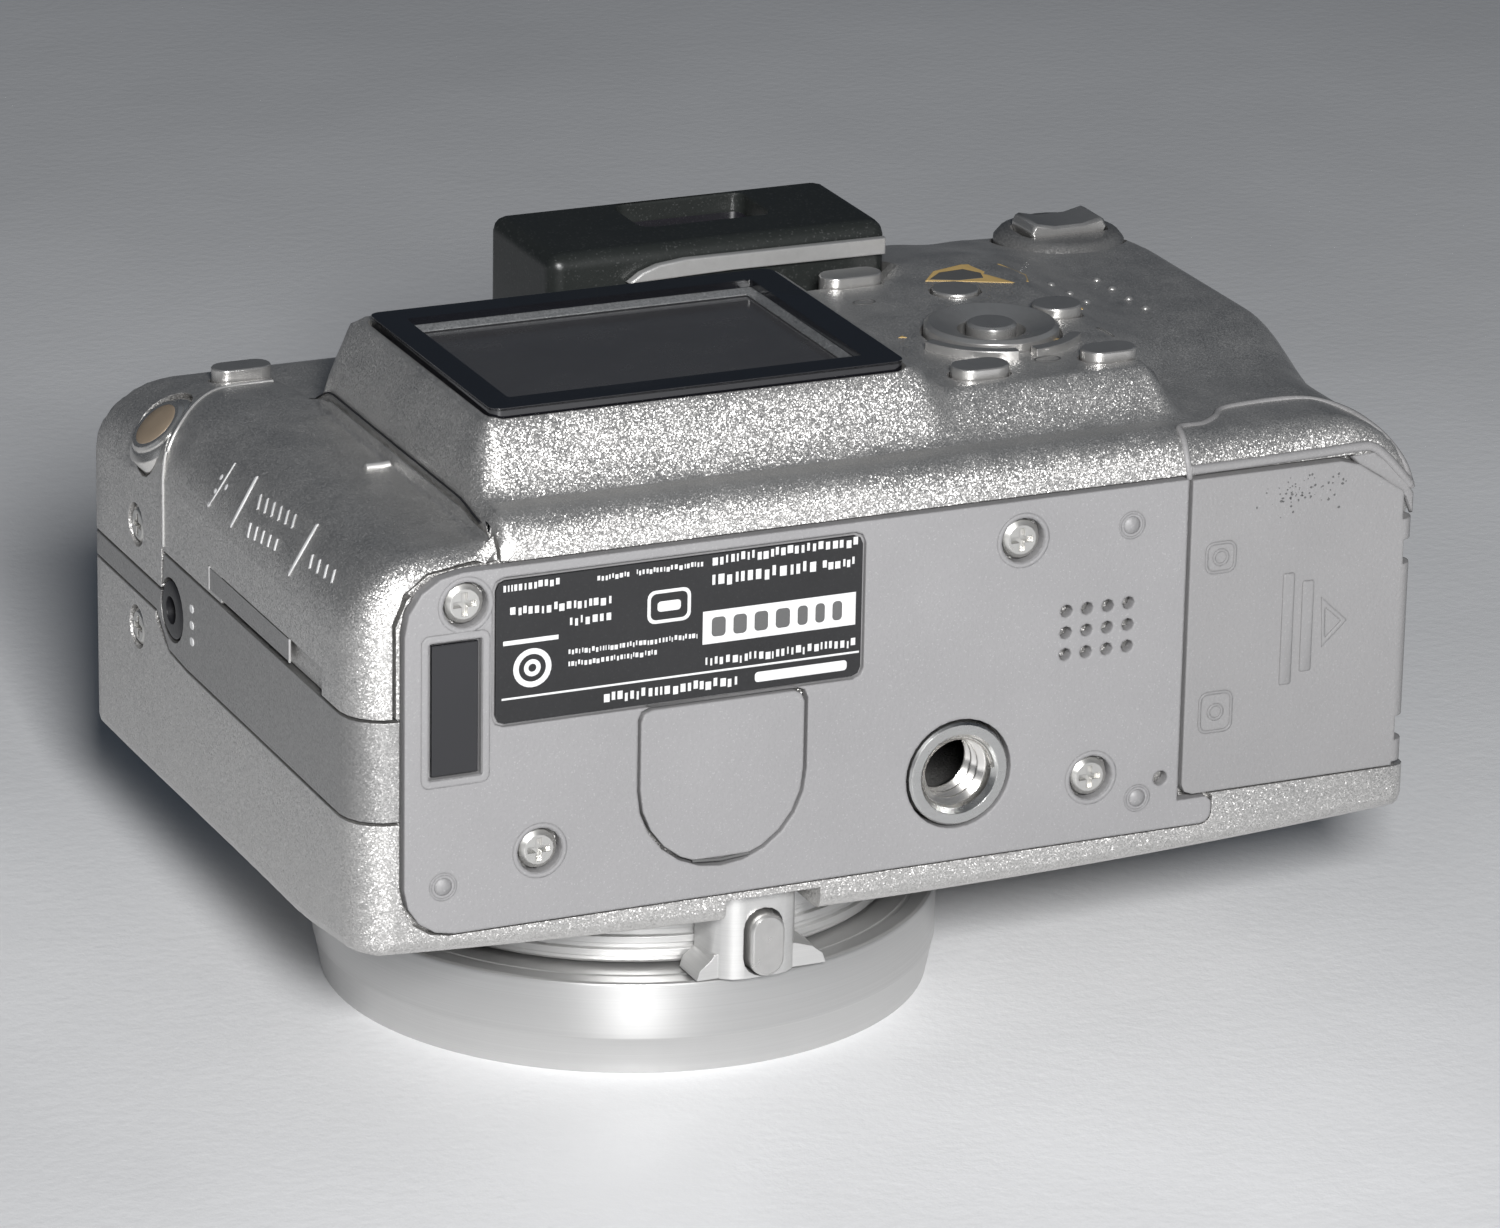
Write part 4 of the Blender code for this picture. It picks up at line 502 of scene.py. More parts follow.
def piece_from(name, shape, material, body, replaced=(), smooth=True, limit=35.0):
    """Turns a bmesh, in the casing's millimetres, into a piece."""
    bmesh.ops.recalc_face_normals(shape, faces=shape.faces)
    for face in shape.faces:
        face.smooth = smooth
    for edge in shape.edges:
        faces = edge.link_faces
        edge.smooth = smooth and len(faces) == 2 and faces[0].normal.angle(faces[1].normal,
            0.0) < math.radians(limit)
    for vert in shape.verts:
        vert.co = (vert.co + ORIGIN) * MM
    mesh = bpy.data.meshes.new(name)
    shape.to_mesh(mesh)
    shape.free()
    return finish_piece(name, mesh, material, body, replaced)


def lifted(axis, flat, depth):
    a, b = flat
    return {"X": (depth, a, b), "Y": (a, depth, b), "Z": (a, b, depth)}[axis]


def add_prism(shape, outline, axis, low, high, soft=0.0):
    """A closed prism; soft draws its high face in by that much, for a rounded look."""
    middle = np.mean(np.array(outline, float), axis=0)
    layers = [(low, 0.0), (high, 0.0)]
    if soft:
        lean = math.copysign(soft, high - low)
        layers = [(low, 0.0), (high - lean, 0.0), (high - 0.3 * lean, 0.35 * soft), (high, soft)]
    loops = []
    for level, inward in layers:
        loop = []
        for point in outline:
            away = np.array(point, float) - middle
            reach = np.linalg.norm(away)
            flat = middle + away * max(0.0, (reach - inward) / max(reach, 1e-9))
            loop.append(shape.verts.new(lifted(axis, flat, level)))
        loops.append(loop)
    count = len(outline)
    for below, above in zip(loops, loops[1:]):
        for i in range(count):
            shape.faces.new((below[i], below[(i + 1) % count], above[(i + 1) % count], above[i]))
    shape.faces.new(loops[0])
    shape.faces.new(loops[-1][::-1])


def oblong(low, high, radius=0.0, steps=4):
    """A rectangle with rounded corners, as a closed outline."""
    (x0, y0), (x1, y1) = low, high
    radius = min(radius, (x1 - x0) / 2 - 1e-4, (y1 - y0) / 2 - 1e-4)
    if radius <= 0:
        return [(x0, y0), (x1, y0), (x1, y1), (x0, y1)]
    corners = ((x1 - radius, y0 + radius, -90), (x1 - radius, y1 - radius, 0),
               (x0 + radius, y1 - radius, 90), (x0 + radius, y0 + radius, 180))
    return [
        (cx + radius * math.cos(math.radians(start + 90 * i / steps)),
         cy + radius * math.sin(math.radians(start + 90 * i / steps)))
        for cx, cy, start in corners for i in range(steps + 1)
    ]


def disc(centre, radius, count=20):
    return [(centre[0] + radius * math.cos(2 * math.pi * i / count),
             centre[1] + radius * math.sin(2 * math.pi * i / count)) for i in range(count)]


def arc(centre, radius, start, end, count=15):
    turns = np.radians(np.linspace(start, end, count))
    return [(centre[0] + radius * math.cos(a), centre[1] + radius * math.sin(a)) for a in turns]


def add_band(shape, outer, inner, axis, low, high):
    """A closed frame between two outlines that have the same number of points."""
    count = len(outer)
    rings = [[shape.verts.new(lifted(axis, p, level)) for p in outline]
             for outline, level in ((outer, low), (outer, high), (inner, high), (inner, low))]
    for ring, after in zip(rings, rings[1:] + rings[:1]):
        for i in range(count):
            shape.faces.new((ring[i], ring[(i + 1) % count], after[(i + 1) % count], after[i]))


def add_turned(shape, profile, centre, axis="Z", count=40):
    """A closed ring or disc turned from a closed profile of (radius, height) points."""
    rings = []
    for radius, height in profile:
        if radius < 1e-6:
            rings.append([shape.verts.new(lifted(axis, centre, height))])
        else:
            rings.append([shape.verts.new(lifted(axis, p, height)) for p in disc(centre, radius, count)])
    for ring, after in zip(rings, rings[1:] + rings[:1]):
        for i in range(count):
            corners = []
            for vert in (ring[i % len(ring)], ring[(i + 1) % len(ring)], after[(i + 1) % len(after)],
                    after[i % len(after)]):
                if vert not in corners:
                    corners.append(vert)
            if len(corners) > 2:
                shape.faces.new(corners)


def add_tube(shape, path, radius, flat=1.0, sides=10, lift=None):
    """A round strip along a path, closed at both ends; flat squeezes it along lift."""
    path = [Vector(p) for p in path]
    lift = Vector(lift or (0.0, -1.0, 0.0)).normalized()
    loops = []
    for i, point in enumerate(path):
        ahead = (path[min(i + 1, len(path) - 1)] - path[max(i - 1, 0)]).normalized()
        across = ahead.cross(lift).normalized()
        up = across.cross(ahead).normalized()
        loops.append([
            shape.verts.new(point + across * radius * math.cos(2 * math.pi * k / sides)
                            + up * radius * flat * math.sin(2 * math.pi * k / sides)) for k in range(sides)
        ])
    for loop, after in zip(loops, loops[1:]):
        for k in range(sides):
            shape.faces.new((loop[k], loop[(k + 1) % sides], after[(k + 1) % sides], after[k]))
    shape.faces.new(loops[0])
    shape.faces.new(loops[-1][::-1])


def add_dome(shape, place, out, radius, height, count=14):
    """A low round bump standing on a surface at place and rising along out."""
    place = Vector(place)
    turn = Vector((0.0, 0.0, 1.0)).rotation_difference(Vector(out)).to_matrix()
    rings = []
    for share in (0.0, 0.35, 0.7, 0.92):
        angle = share * math.pi / 2
        ring = [place + turn @ Vector((radius * math.cos(angle) * math.cos(2 * math.pi * i / count),
                                       radius * math.cos(angle) * math.sin(2 * math.pi * i / count),
                                       height * math.sin(angle) - 0.05)) for i in range(count)]
        rings.append([shape.verts.new(p) for p in ring])
    for ring, after in zip(rings, rings[1:]):
        for i in range(count):
            shape.faces.new((ring[i], ring[(i + 1) % count], after[(i + 1) % count], after[i]))
    shape.faces.new(rings[0][::-1])
    shape.faces.new(rings[-1])


def curve_through(points, steps=6):
    """Points along a smooth curve that passes through the ones given."""
    given = [Vector(p) for p in points]
    made = []
    for i in range(len(given) - 1):
        before, start, end, after = given[max(i - 1, 0)], given[i], given[i + 1], given[min(i + 2,
            len(given) - 1)]
        for k in range(steps):
            t = k / steps
            slope = end - before
            bend = 2 * before - 5 * start + 4 * end - after
            twist = 3 * start - before - 3 * end + after
            made.append(0.5 * (2 * start + slope * t + bend * t * t + twist * t ** 3))
    made.append(given[-1])
    return made


def on_back(x, y, proud=0.0):
    x, y = np.array([x], float), np.array([y], float)
    place = Vector((x[0], y[0], rear_skin(x, y)[0]))
    out = Vector(skin_normals(rear_skin, 1.0, x, y)[0])
    return place + out * proud, out


# ---------------------------------------------------------------- base plate side
LABEL_BARS = (
    (-36.2, -31.0, 47.85, 0.7), (-27.9, -24.8, 47.75, 0.5), (-24.4, -18.3, 47.8, 0.5),
        (-17.6, -4.4, 48.0, 0.85),
    (-35.6, -26.6, 45.75, 0.8), (-30.3, -26.6, 44.3, 0.8), (-17.6, -8.2, 46.3, 1.1), (-7.6, -4.5, 46.3, 0.8),
    (-30.4, -18.6, 41.6, 0.5), (-30.4, -22.5, 40.6, 0.5), (-18.1, -4.1, 39.1, 0.8),
)


ON_LABEL = ("Y", 0.01, -0.02)
ON_STAMP = ("Y", -0.015, -0.035)


def dash_row(shape, left, right, z, high, draw):
    """A row of short dashes of uneven length, which stands for a printed line."""
    x = left
    while x < right - 0.2:
        long = min(draw.uniform(0.18, 0.62) * high, right - x)
        shift = draw.choice((0.0, 0.0, 0.14, -0.14)) * high
        add_prism(shape, oblong((x, z - high * 0.4 + shift), (x + long, z + high * 0.4 + shift)), *ON_LABEL)
        x += long + draw.uniform(0.16, 0.34) * high


def label_print():
    draw = random.Random(7)
    shape = bmesh.new()
    for left, right, z, high in LABEL_BARS:
        dash_row(shape, left, right, z, high, draw)
    add_prism(shape, oblong((-36.3, 38.15), (-4.1, 38.33)), *ON_LABEL)
    add_prism(shape, oblong((-18.4, 40.7), (-4.5, 43.6)), *ON_LABEL)
    outer = oblong((-23.4, 43.1), (-19.5, 46.0), 0.7)
    add_band(shape, outer, oblong((-23.1, 43.4), (-19.8, 45.7), 0.5), *ON_LABEL)
    add_prism(shape, oblong((-22.5, 44.1), (-20.4, 45.0), 0.3), *ON_LABEL)
    add_band(shape, disc((-33.6, 40.7), 1.7, 28), disc((-33.6, 40.7), 1.2, 28), *ON_LABEL)
    add_band(shape, disc((-33.6, 40.7), 0.75, 20), disc((-33.6, 40.7), 0.35, 20), *ON_LABEL)
    add_prism(shape, oblong((-36.2, 42.9), (-31.3, 43.3)), *ON_LABEL)
    dash_row(shape, -27.2, -15.2, 37.15, 0.9, draw)
    add_prism(shape, oblong((-13.6, 36.75), (-5.2, 37.65), 0.3), *ON_LABEL)
    piece_from("label_print", shape, PRINT, "casing", smooth=False)
    shape = bmesh.new()
    x = -17.6
    while x < -5.6:
        long = draw.uniform(0.8, 1.3)
        add_prism(shape, oblong((x, 41.3), (x + long, 43.0), 0.35), *ON_STAMP)
        x += long + 0.7
    piece_from("label_stamp", shape, DARK_PRINT, "casing", smooth=False)


SCREW_SPOTS = ((-39.5, 46.9), (10.9, 46.2), (-32.8, 24.5), (18.0, 23.9))


def plate_details():
    shape = bmesh.new()
    for x, z in ((-41.4, 22.5), (21.1, 46.3), (22.5, 21.4)):
        add_band(shape, disc((x, z), 1.25, 28), disc((x, z), 1.0, 28), "Y", 0.02, -0.07)
        add_prism(shape, disc((x, z), 0.8, 24), "Y", 0.02, -0.05, 0.05)
    add_band(shape, oblong((-43.4, 31.3), (-37.35, 44.6), 0.7),
        oblong((-42.75, 31.95), (-38.0, 43.95), 0.25), "Y", 0.02, -0.12)
    for x, z in SCREW_SPOTS:
        add_band(shape, disc((x, z), 2.45, 32), disc((x, z), 2.02, 32), "Y", 0.02, -0.06)
    piece_from("plate_marks", shape, PLATE, "casing")
    shape = bmesh.new()
    add_tube(shape, [(-19.0, 0.04, 21.55), (-16.4, 0.04, 21.35), (-13.8, 0.04, 21.55)], 0.14)
    piece_from("cap_notch_line", shape, DARK_PRINT, "casing")


def door_details():
    """Raised grip bars, an arrow, two card outlines and wear; the words beside them are left out."""
    shape = bmesh.new()
    add_prism(shape, oblong((35.8, 29.9), (36.9, 40.1), 0.2), "Y", 0.02, -0.14, 0.1)
    add_prism(shape, oblong((37.7, 30.9), (38.8, 39.2), 0.2), "Y", 0.02, -0.14, 0.1)
    tip = [(39.6, 37.5), (42.2, 35.1), (39.8, 32.9)]
    inner = [(40.0, 36.5), (41.55, 35.1), (40.1, 33.8)]
    add_band(shape, tip, inner, "Y", 0.02, -0.08)
    for low, high in (((28.2, 40.9), (31.2, 43.8)), ((28.1, 26.4), (31.4, 30.2))):
        outer = oblong(low, high, 0.8)
        add_band(shape, outer, oblong((low[0] + 0.28, low[1] + 0.28), (high[0] - 0.28, high[1] - 0.28),
            0.6), "Y", 0.02, -0.08)
        middle = ((low[0] + high[0]) / 2, (low[1] + high[1]) / 2)
        add_band(shape, disc(middle, 0.8, 20), disc(middle, 0.5, 20), "Y", 0.02, -0.07)
    piece_from("door_marks", shape, DOOR, "battery_door")
    draw = random.Random(3)
    shape = bmesh.new()
    for _ in range(70):
        centre = (draw.gauss(37.6, 2.0), draw.gauss(47.3, 0.9))
        if centre[0] > 42.0 or centre[1] > 49.0:
            continue
        radius = draw.uniform(0.03, 0.13)
        add_prism(shape, [(centre[0] + radius * draw.uniform(0.5, 1.6) * math.cos(a),
            centre[1] + radius * math.sin(a))
                          for a in (0.0, 1.1, 2.2, 3.3, 4.4, 5.3)], "Y", 0.01, -0.012)
    piece_from("door_scuffs", shape, DARK_PRINT, "battery_door", smooth=False)


LOWER_RIM = (
    (26.71, 0.43, 50.39), (30.85, 0.54, 50.34), (35.12, 0.55, 50.39), (39.42, 0.56, 50.45),
        (42.87, 0.56, 50.52),
    (44.25, 0.54, 50.36), (45.46, 0.48, 49.45), (46.74, 0.42, 48.07), (48.12, 0.57, 46.48),
)
UPPER_RIM = (
    (26.65, 0.40, 49.6), (26.54, 0.44, 50.49), (26.49, 0.76, 51.51), (26.60, 1.55, 52.53),
        (26.75, 2.39, 53.05),
    (27.2, 3.55, 53.28), (29.77, 4.63, 52.87), (31.85, 6.17, 52.8), (33.4, 7.9, 52.8), (36.5, 8.4, 52.8),
    (40.08, 8.35, 52.8), (42.6, 7.6, 52.6), (44.3, 5.3, 52.2), (45.2, 3.0, 51.6), (46.3, 1.6, 50.4),
        (47.6, 0.9, 48.4),
    (48.36, 0.66, 46.18),
)
CORNER_FILL = (
    (42.14, 0.43, 49.83), (44.24, 0.48, 49.88), (45.82, 0.41, 48.75), (47.3, 0.42, 47.19),
        (48.35, 0.59, 45.72),
    (48.24, 0.4, 44.0), (47.59, 0.4, 45.54), (45.01, 0.4, 47.64), (42.86, 0.4, 49.03),
)


def wrap_rims():
    """Raised strips that frame the panel behind the battery door, and the land beside its slanted corner."""
    shape = bmesh.new()
    add_tube(shape, curve_through(LOWER_RIM, 5), 0.43, 0.85, 12, (0.0, -1.0, 0.4))
    add_tube(shape, curve_through(UPPER_RIM, 5), 0.3, 0.7, 10, (0.0, -0.6, 0.8))
    piece_from("door_rims", shape, DOOR, "casing", limit=60.0)
    shape = bmesh.new()
    out = Vector((0.25, -0.9, 0.35)).normalized()
    front = [shape.verts.new(Vector(p) + out * 0.16) for p in CORNER_FILL]
    back = [shape.verts.new(Vector(p) - out * 0.3) for p in CORNER_FILL]
    count = len(front)
    for i in range(count):
        shape.faces.new((front[i], front[(i + 1) % count], back[(i + 1) % count], back[i]))
    for i in range(count // 2):
        for ring in (front, back):
            a, b, c, d = ring[i], ring[i + 1], ring[count - 2 - i], ring[count - 1 - i]
            corners = [a, b, c, d] if c is not b else [a, b, d]
            if len(set(corners)) == len(corners) and i + 1 < count - 1 - i:
                shape.faces.new(corners if i + 1 != count - 2 - i else (a, b, d))
    piece_from("corner_land", shape, DOOR, "casing", limit=50.0)


def tripod_thread():
    """A helical ridge in the tripod socket."""
    x, z = 5.48, 25.98
    pitch, low, high = 1.27, 0.55, 5.1
    bore, ridge = 3.22, 0.62
    turns = (high - low) / pitch
    count = int(turns * 36)
    shape = bmesh.new()
    loops = []
    for i in range(count + 1):
        angle = 2 * math.pi * turns * i / count
        y = low + (high - low) * i / count
        fade = min(1.0, i / 12, (count - i) / 12)
        loops.append([
            shape.verts.new((x + r * math.cos(angle), y + d, z + r * math.sin(angle)))
            for r, d in ((bore, -0.5), (bore - ridge * fade, -0.06), (bore - ridge * fade, 0.06), (bore, 0.5))
        ])
    for loop, after in zip(loops, loops[1:]):
        for k in range(4):
            shape.faces.new((loop[k], loop[(k + 1) % 4], after[(k + 1) % 4], after[k]))
    shape.faces.new(loops[0])
    shape.faces.new(loops[-1][::-1])
    piece_from("tripod_thread", shape, CHROME, "casing")


# ---------------------------------------------------------------- back
WEAR = (
    ((19.4, 38.2), (21.3, 40.6), (24.5, 41.6), (28.0, 41.0), (29.4, 38.4), (28.2, 35.4), (26.4, 35.0),
        (22.4, 37.0)),
    ((29.0, 28.3), (29.5, 28.9), (30.2, 28.5), (29.8, 27.8)),
    ((22.6, 18.4), (24.2, 17.8), (24.6, 18.2), (22.9, 18.9)),
    ((10.2, 24.0), (10.7, 24.4), (10.9, 23.8)),
)


def patch(shape, outline, proud=0.03):
    """A thin patch that follows the back; it is filled as a fan about its middle."""
    middle = np.mean(np.array(outline, float), axis=0)
    top = [shape.verts.new(on_back(x, y, proud)[0]) for x, y in outline]
    under = [shape.verts.new(on_back(x, y, -0.03)[0]) for x, y in outline]
    peak = shape.verts.new(on_back(*middle, proud)[0])
    foot = shape.verts.new(on_back(*middle, -0.03)[0])
    for i in range(len(outline)):
        k = (i + 1) % len(outline)
        shape.faces.new((top[i], top[k], peak))
        shape.faces.new((under[k], under[i], foot))
        shape.faces.new((top[i], under[i], under[k], top[k]))


PAD = (18.4, 22.6)


def back_details():
    shape = bmesh.new()
    for x, y in ((37.47, 40.42), (37.59, 37.57), (37.64, 34.35), (37.78, 31.32), (31.05, 36.61),
            (31.73, 34.22), (32.12, 31.68)):
        place, out = on_back(x, y)
        add_dome(shape, place, out, 0.42, 0.34)
    piece_from("thumb_dots", shape, PLATED, "casing", limit=60.0)
    shape = bmesh.new()
    for outline in WEAR:
        patch(shape, outline)
    piece_from("worn_patches", shape, BRASS, "casing", smooth=False)
    shape = bmesh.new()
    patch(shape, ((19.9, 38.4), (21.6, 40.0), (24.0, 40.2), (25.0, 38.6), (24.6, 37.2), (22.2, 37.3)), 0.05)
    for ring_x, ring_y, long in ((19.6, 14.0, 1.15), (28.4, 20.6, 0.8), (11.7, 34.4, 1.0)):
        outer = [on_back(ring_x + long * math.cos(a), ring_y + long * 0.62 * math.sin(a),
            0.03)[0] for a in np.linspace(0, 2 * math.pi, 25)]
        add_tube(shape, outer, 0.09, 0.4, 6, (0.0, 0.0, 1.0))
    piece_from("back_printing", shape, DARK_PRINT, "casing", smooth=False)
    shape = bmesh.new()
    for start, end in ((198, 262), (274, 322)):
        add_prism(shape, arc(PAD, 7.9, start, end) + arc(PAD, 6.9, end, start), "Z", 56.6, 57.75)
    piece_from("pad_walls", shape, PLATED, "casing", limit=40.0)
    shape = bmesh.new()
    lip = [(-6.2, 57.6), (-5.0, 58.4), (-3.4, 58.95), (-0.8, 59.25), (18.7, 59.15), (18.7, 57.7),
        (4.0, 57.75), (0.0, 57.7), (-3.0, 57.65)]
    add_prism(shape, lip, "Y", 45.65, 44.9, 0.25)
    piece_from("finder_lip", shape, SATIN, "casing", limit=40.0)


def screen_details():
    """The printed border, the pane over it and the grey frame round the display."""
    top, deep = 60.0, 58.78
    outer = oblong((-33.4, 9.7), (4.2, 38.0), 1.0)
    opening = oblong((-30.9, 12.3), (1.3, 35.4), 0.3)
    shape = bmesh.new()
    add_band(shape, outer, opening, "Z", 59.05, top - 0.06)
    piece_from("screen_border", shape, GLOSS_BLACK, "casing", replaced=("lcd_window",))
    shape = bmesh.new()
    soft_outer = oblong((-33.15, 9.95), (3.95, 37.75), 0.9)
    loops = [[shape.verts.new((x, y, z)) for x, y in outline]
             for outline, z in ((outer, top - 0.3), (outer, top - 0.12), (soft_outer, top))]
    count = len(outer)
    for ring, after in zip(loops, loops[1:]):
        for i in range(count):
            k = (i + 1) % count
            shape.faces.new((ring[i], ring[k], after[k], after[i]))
    shape.faces.new(loops[2])
    shape.faces.new(loops[0][::-1])
    piece_from("screen_pane", shape, PANE, "casing")
    shape = bmesh.new()
    mid = oblong((-30.2, 13.0), (0.6, 34.7), 0.2)
    inside = oblong((-30.87, 12.33), (1.27, 35.37), 0.3)
    rings = [[shape.verts.new((x, y, z)) for x, y in outline]
             for outline, z in ((inside, 59.3), (inside, deep), (mid, deep), (mid, deep + 0.1))]
    count = len(opening)
    for ring, after in zip(rings, rings[1:] + rings[:1]):
        for i in range(count):
            k = (i + 1) % count
            shape.faces.new((ring[i], ring[k], after[k], after[i]))
    piece_from("screen_inner_frame", shape, FRAME_SILVER, "casing", smooth=False)


# ---------------------------------------------------------------- left end
EDGE_CENTRE = (-HALF_WIDTH + LEFT_EDGE, LEFT_Z - LEFT_EDGE)
# Each line: lowest y, bow, where the bow is lowest, first and last angle round the edge, half width.
COVER_LINES = (
    (29.0, 3.4, 0.5, 40.3, 79.8, 0.28), (15.22, 3.3, 0.5, 38.1, 78.1, 0.28),
        (34.14, 2.9, 0.36, 42.8, 79.0, 0.16),
)
# Each row: number of ticks, first x and y, step from tick to tick, half of one tick's run.
TICK_ROWS = (
    (6, (-47.19, 27.06), (0.086, -1.41), (-0.335, -0.5)),
    (5, (-48.46, 26.08), (0.05, -1.465), (-0.19, -0.1)),
    (4, (-47.78, 13.23), (0.05, -1.577), (-0.265, -0.32)),
)
COVER_DOTS = ((-47.86, 35.04), (-48.04, 33.3), (-48.42, 34.9), (-48.84, 35.42))
COVER_OUT = Vector((-0.85, 0.0, 0.53)).normalized()
# Points of a bright strip along the cover's far edge; the strip is a painted highlight.
COVER_EDGE_HIGHLIGHT = (
    (-49.0, 46.6, 38.0), (-49.0, 46.55, 41.2), (-48.94, 46.6, 44.9), (-48.3, 46.9, 47.4),
        (-46.9, 47.6, 49.1), (-44.6, 49.3, 50.0),
    (-42.0, 51.0, 50.25), (-39.8, 51.5, 50.2), (-37.0, 51.55, 50.2),
)


def edge_line(lowest, bow, lean, start, end, count=6):
    """Points round the cover's rounded edge, bowed along y."""
    line = []
    for i in range(count):
        share = i / (count - 1)
        angle = math.radians(start + (end - start) * share)
        across, up = LEFT_EDGE * math.sin(angle), LEFT_EDGE * math.cos(angle)
        line.append(Vector((EDGE_CENTRE[0] - across, lowest + bow * (share - lean) ** 2,
            EDGE_CENTRE[1] + up)))
    return line


def cover_details():
    """Print, the raised ridge, a bright strip along the far edge as a painted highlight, a black strip in the
    seam as painted shade, and a darker patch as painted shade for the nail recess.
    """
    shape = bmesh.new()
    proud = COVER_OUT * 0.02
    for *bend, half_width in COVER_LINES:
        add_tube(shape, [p + proud for p in edge_line(*bend)], half_width, 0.3, 6, COVER_OUT)
    for count, first, step, run in TICK_ROWS:
        for k in range(count):
            x, y = first[0] + step[0] * k, first[1] + step[1] * k
            tick = [on_back(x + run[0] * j, y + run[1] * j)[0] + proud for j in range(3)]
            add_tube(shape, tick, 0.2, 0.3, 6, COVER_OUT)
    for x, y in COVER_DOTS:
        add_dome(shape, on_back(x, y)[0], COVER_OUT, 0.34, 0.08)
    piece_from("cover_print", shape, PRINT, "connector_cover", smooth=False)
    shape = bmesh.new()
    add_tube(shape, [on_back(x, 24.0, 0.12)[0] for x in np.linspace(-39.0, -36.75, 6)], 0.4, 0.8, 10,
        (0.0, 0.0, 1.0))
    # The far-edge strip is a painted highlight laid along the edge.
    edge = []
    for point in curve_through(COVER_EDGE_HIGHLIGHT, 5):
        seated, out = on_back(max(point.x, -48.9), point.y)
        edge.append(seated + out * 0.02 if point.x > -48.5 else point + Vector((-0.02, 0.0, 0.0)))
    add_tube(shape, edge, 0.16, 0.8, 8, COVER_OUT)
    piece_from("cover_ridge_and_highlight", shape, SATIN, "connector_cover", limit=60.0)
    shape = bmesh.new()
    # A black strip along the seam, painted shade in the gap.
    seam = [on_back(-36.25, y, -0.03)[0] for y in np.linspace(5.0, 49.0, 40)]
    add_tube(shape, seam, 0.12, 0.6, 6, (0.0, 0.0, 1.0))
    piece_from("cover_seam_shade", shape, SOCKET, "casing", smooth=False)
    shape = bmesh.new()
    # A darker patch on the side, painted shade for the nail recess.
    add_prism(shape, oblong((15.5, 37.95), (35.0, 39.9), 0.3), "X", -48.95, -49.03)
    piece_from("nail_recess_shade", shape, BAND, "connector_cover", smooth=False)
    shape = bmesh.new()
    for y in (15.5, 35.0):
        add_tube(shape, [(-49.0, y, 37.9), (-49.0, y, 40.0)], 0.18, 0.6, 8, (-1.0, 0.0, 0.0))
    piece_from("nail_recess_ends", shape, SATIN, "connector_cover", limit=60.0)
    shape = bmesh.new()
    for z in (31.6, 33.1, 34.6):
        add_prism(shape, oblong((39.1, z - 0.36), (39.95, z + 0.36), 0.3), "X", -48.95, -49.06)
    piece_from("jack_marks", shape, PRINT, "casing", smooth=False)


def lug_face():
    """The warm-coloured end face of the strap lug."""
    shape = bmesh.new()
    tilt = math.radians(42.0)
    out = Vector((-math.sin(tilt), 0.0, math.cos(tilt)))
    centre = Vector((-46.8, 52.0, 46.3))
    top = max((v.co / MM - ORIGIN - centre).dot(out) for v in NODES["strap_lug"].data.vertices)
    add_dome(shape, centre + out * (top + 0.02), out, 2.3, 0.22, 32)
    piece_from("lug_face", shape, BRONZE, "casing", limit=60.0)


# ---------------------------------------------------------------- top and lens side
SHOE_FLOOR = 67.35
ON_DIAL = ("Y", 68.05, 68.13)


def top_details():
    shape = bmesh.new()
    for x, z in ((3.0, 34.0), (0.2, 30.4), (5.8, 30.4), (0.2, 37.6), (5.8, 37.6)):
        add_prism(shape, disc((x, z), 1.15 if z == 34.0 else 0.75, 24), "Y", SHOE_FLOOR, SHOE_FLOOR + 0.15,
            0.06)
    piece_from("shoe_contacts", shape, BRASS, "casing")
    shape = bmesh.new()
    x, z = 25.0, 33.4
    for step in range(9):
        angle = math.radians(20 + 40 * step)
        middle = (x + 5.9 * math.cos(angle), z + 5.9 * math.sin(angle))
        kind = step % 3
        if kind == 0:
            add_band(shape, disc(middle, 0.75, 18), disc(middle, 0.5, 18), *ON_DIAL)
        elif kind == 1:
            add_prism(shape, oblong((middle[0] - 0.6, middle[1] - 0.45),
                (middle[0] + 0.6, middle[1] + 0.45), 0.2), *ON_DIAL)
        else:
            add_prism(shape, [(middle[0] - 0.6, middle[1] - 0.5), (middle[0] + 0.6, middle[1] - 0.5),
                (middle[0], middle[1] + 0.6)], *ON_DIAL)
    piece_from("dial_marks", shape, DARK_PRINT, "mode_dial", smooth=False)
    shape = bmesh.new()
    add_prism(shape, [(x - 0.4, 42.2), (x + 0.4, 42.2), (x + 0.4, 43.4), (x - 0.4, 43.4)], "Y", TOP_Y - 0.1,
        TOP_Y + 0.06)
    for i in range(3):
        add_prism(shape, disc((-22.0 + 2.2 * i, 40.0), 0.45, 12), "Y", TOP_Y - 0.1, TOP_Y + 0.04)
    piece_from("top_marks", shape, DARK_PRINT, "casing", smooth=False)
    shape = bmesh.new()
    outer = oblong((-36.2, 63.3), (-14.8, 65.4), 0.5)
    add_prism(shape, outer, "Z", 17.7, 17.35, 0.2)
    piece_from("flash_window", shape, PANE_SOLID, "flash_head")


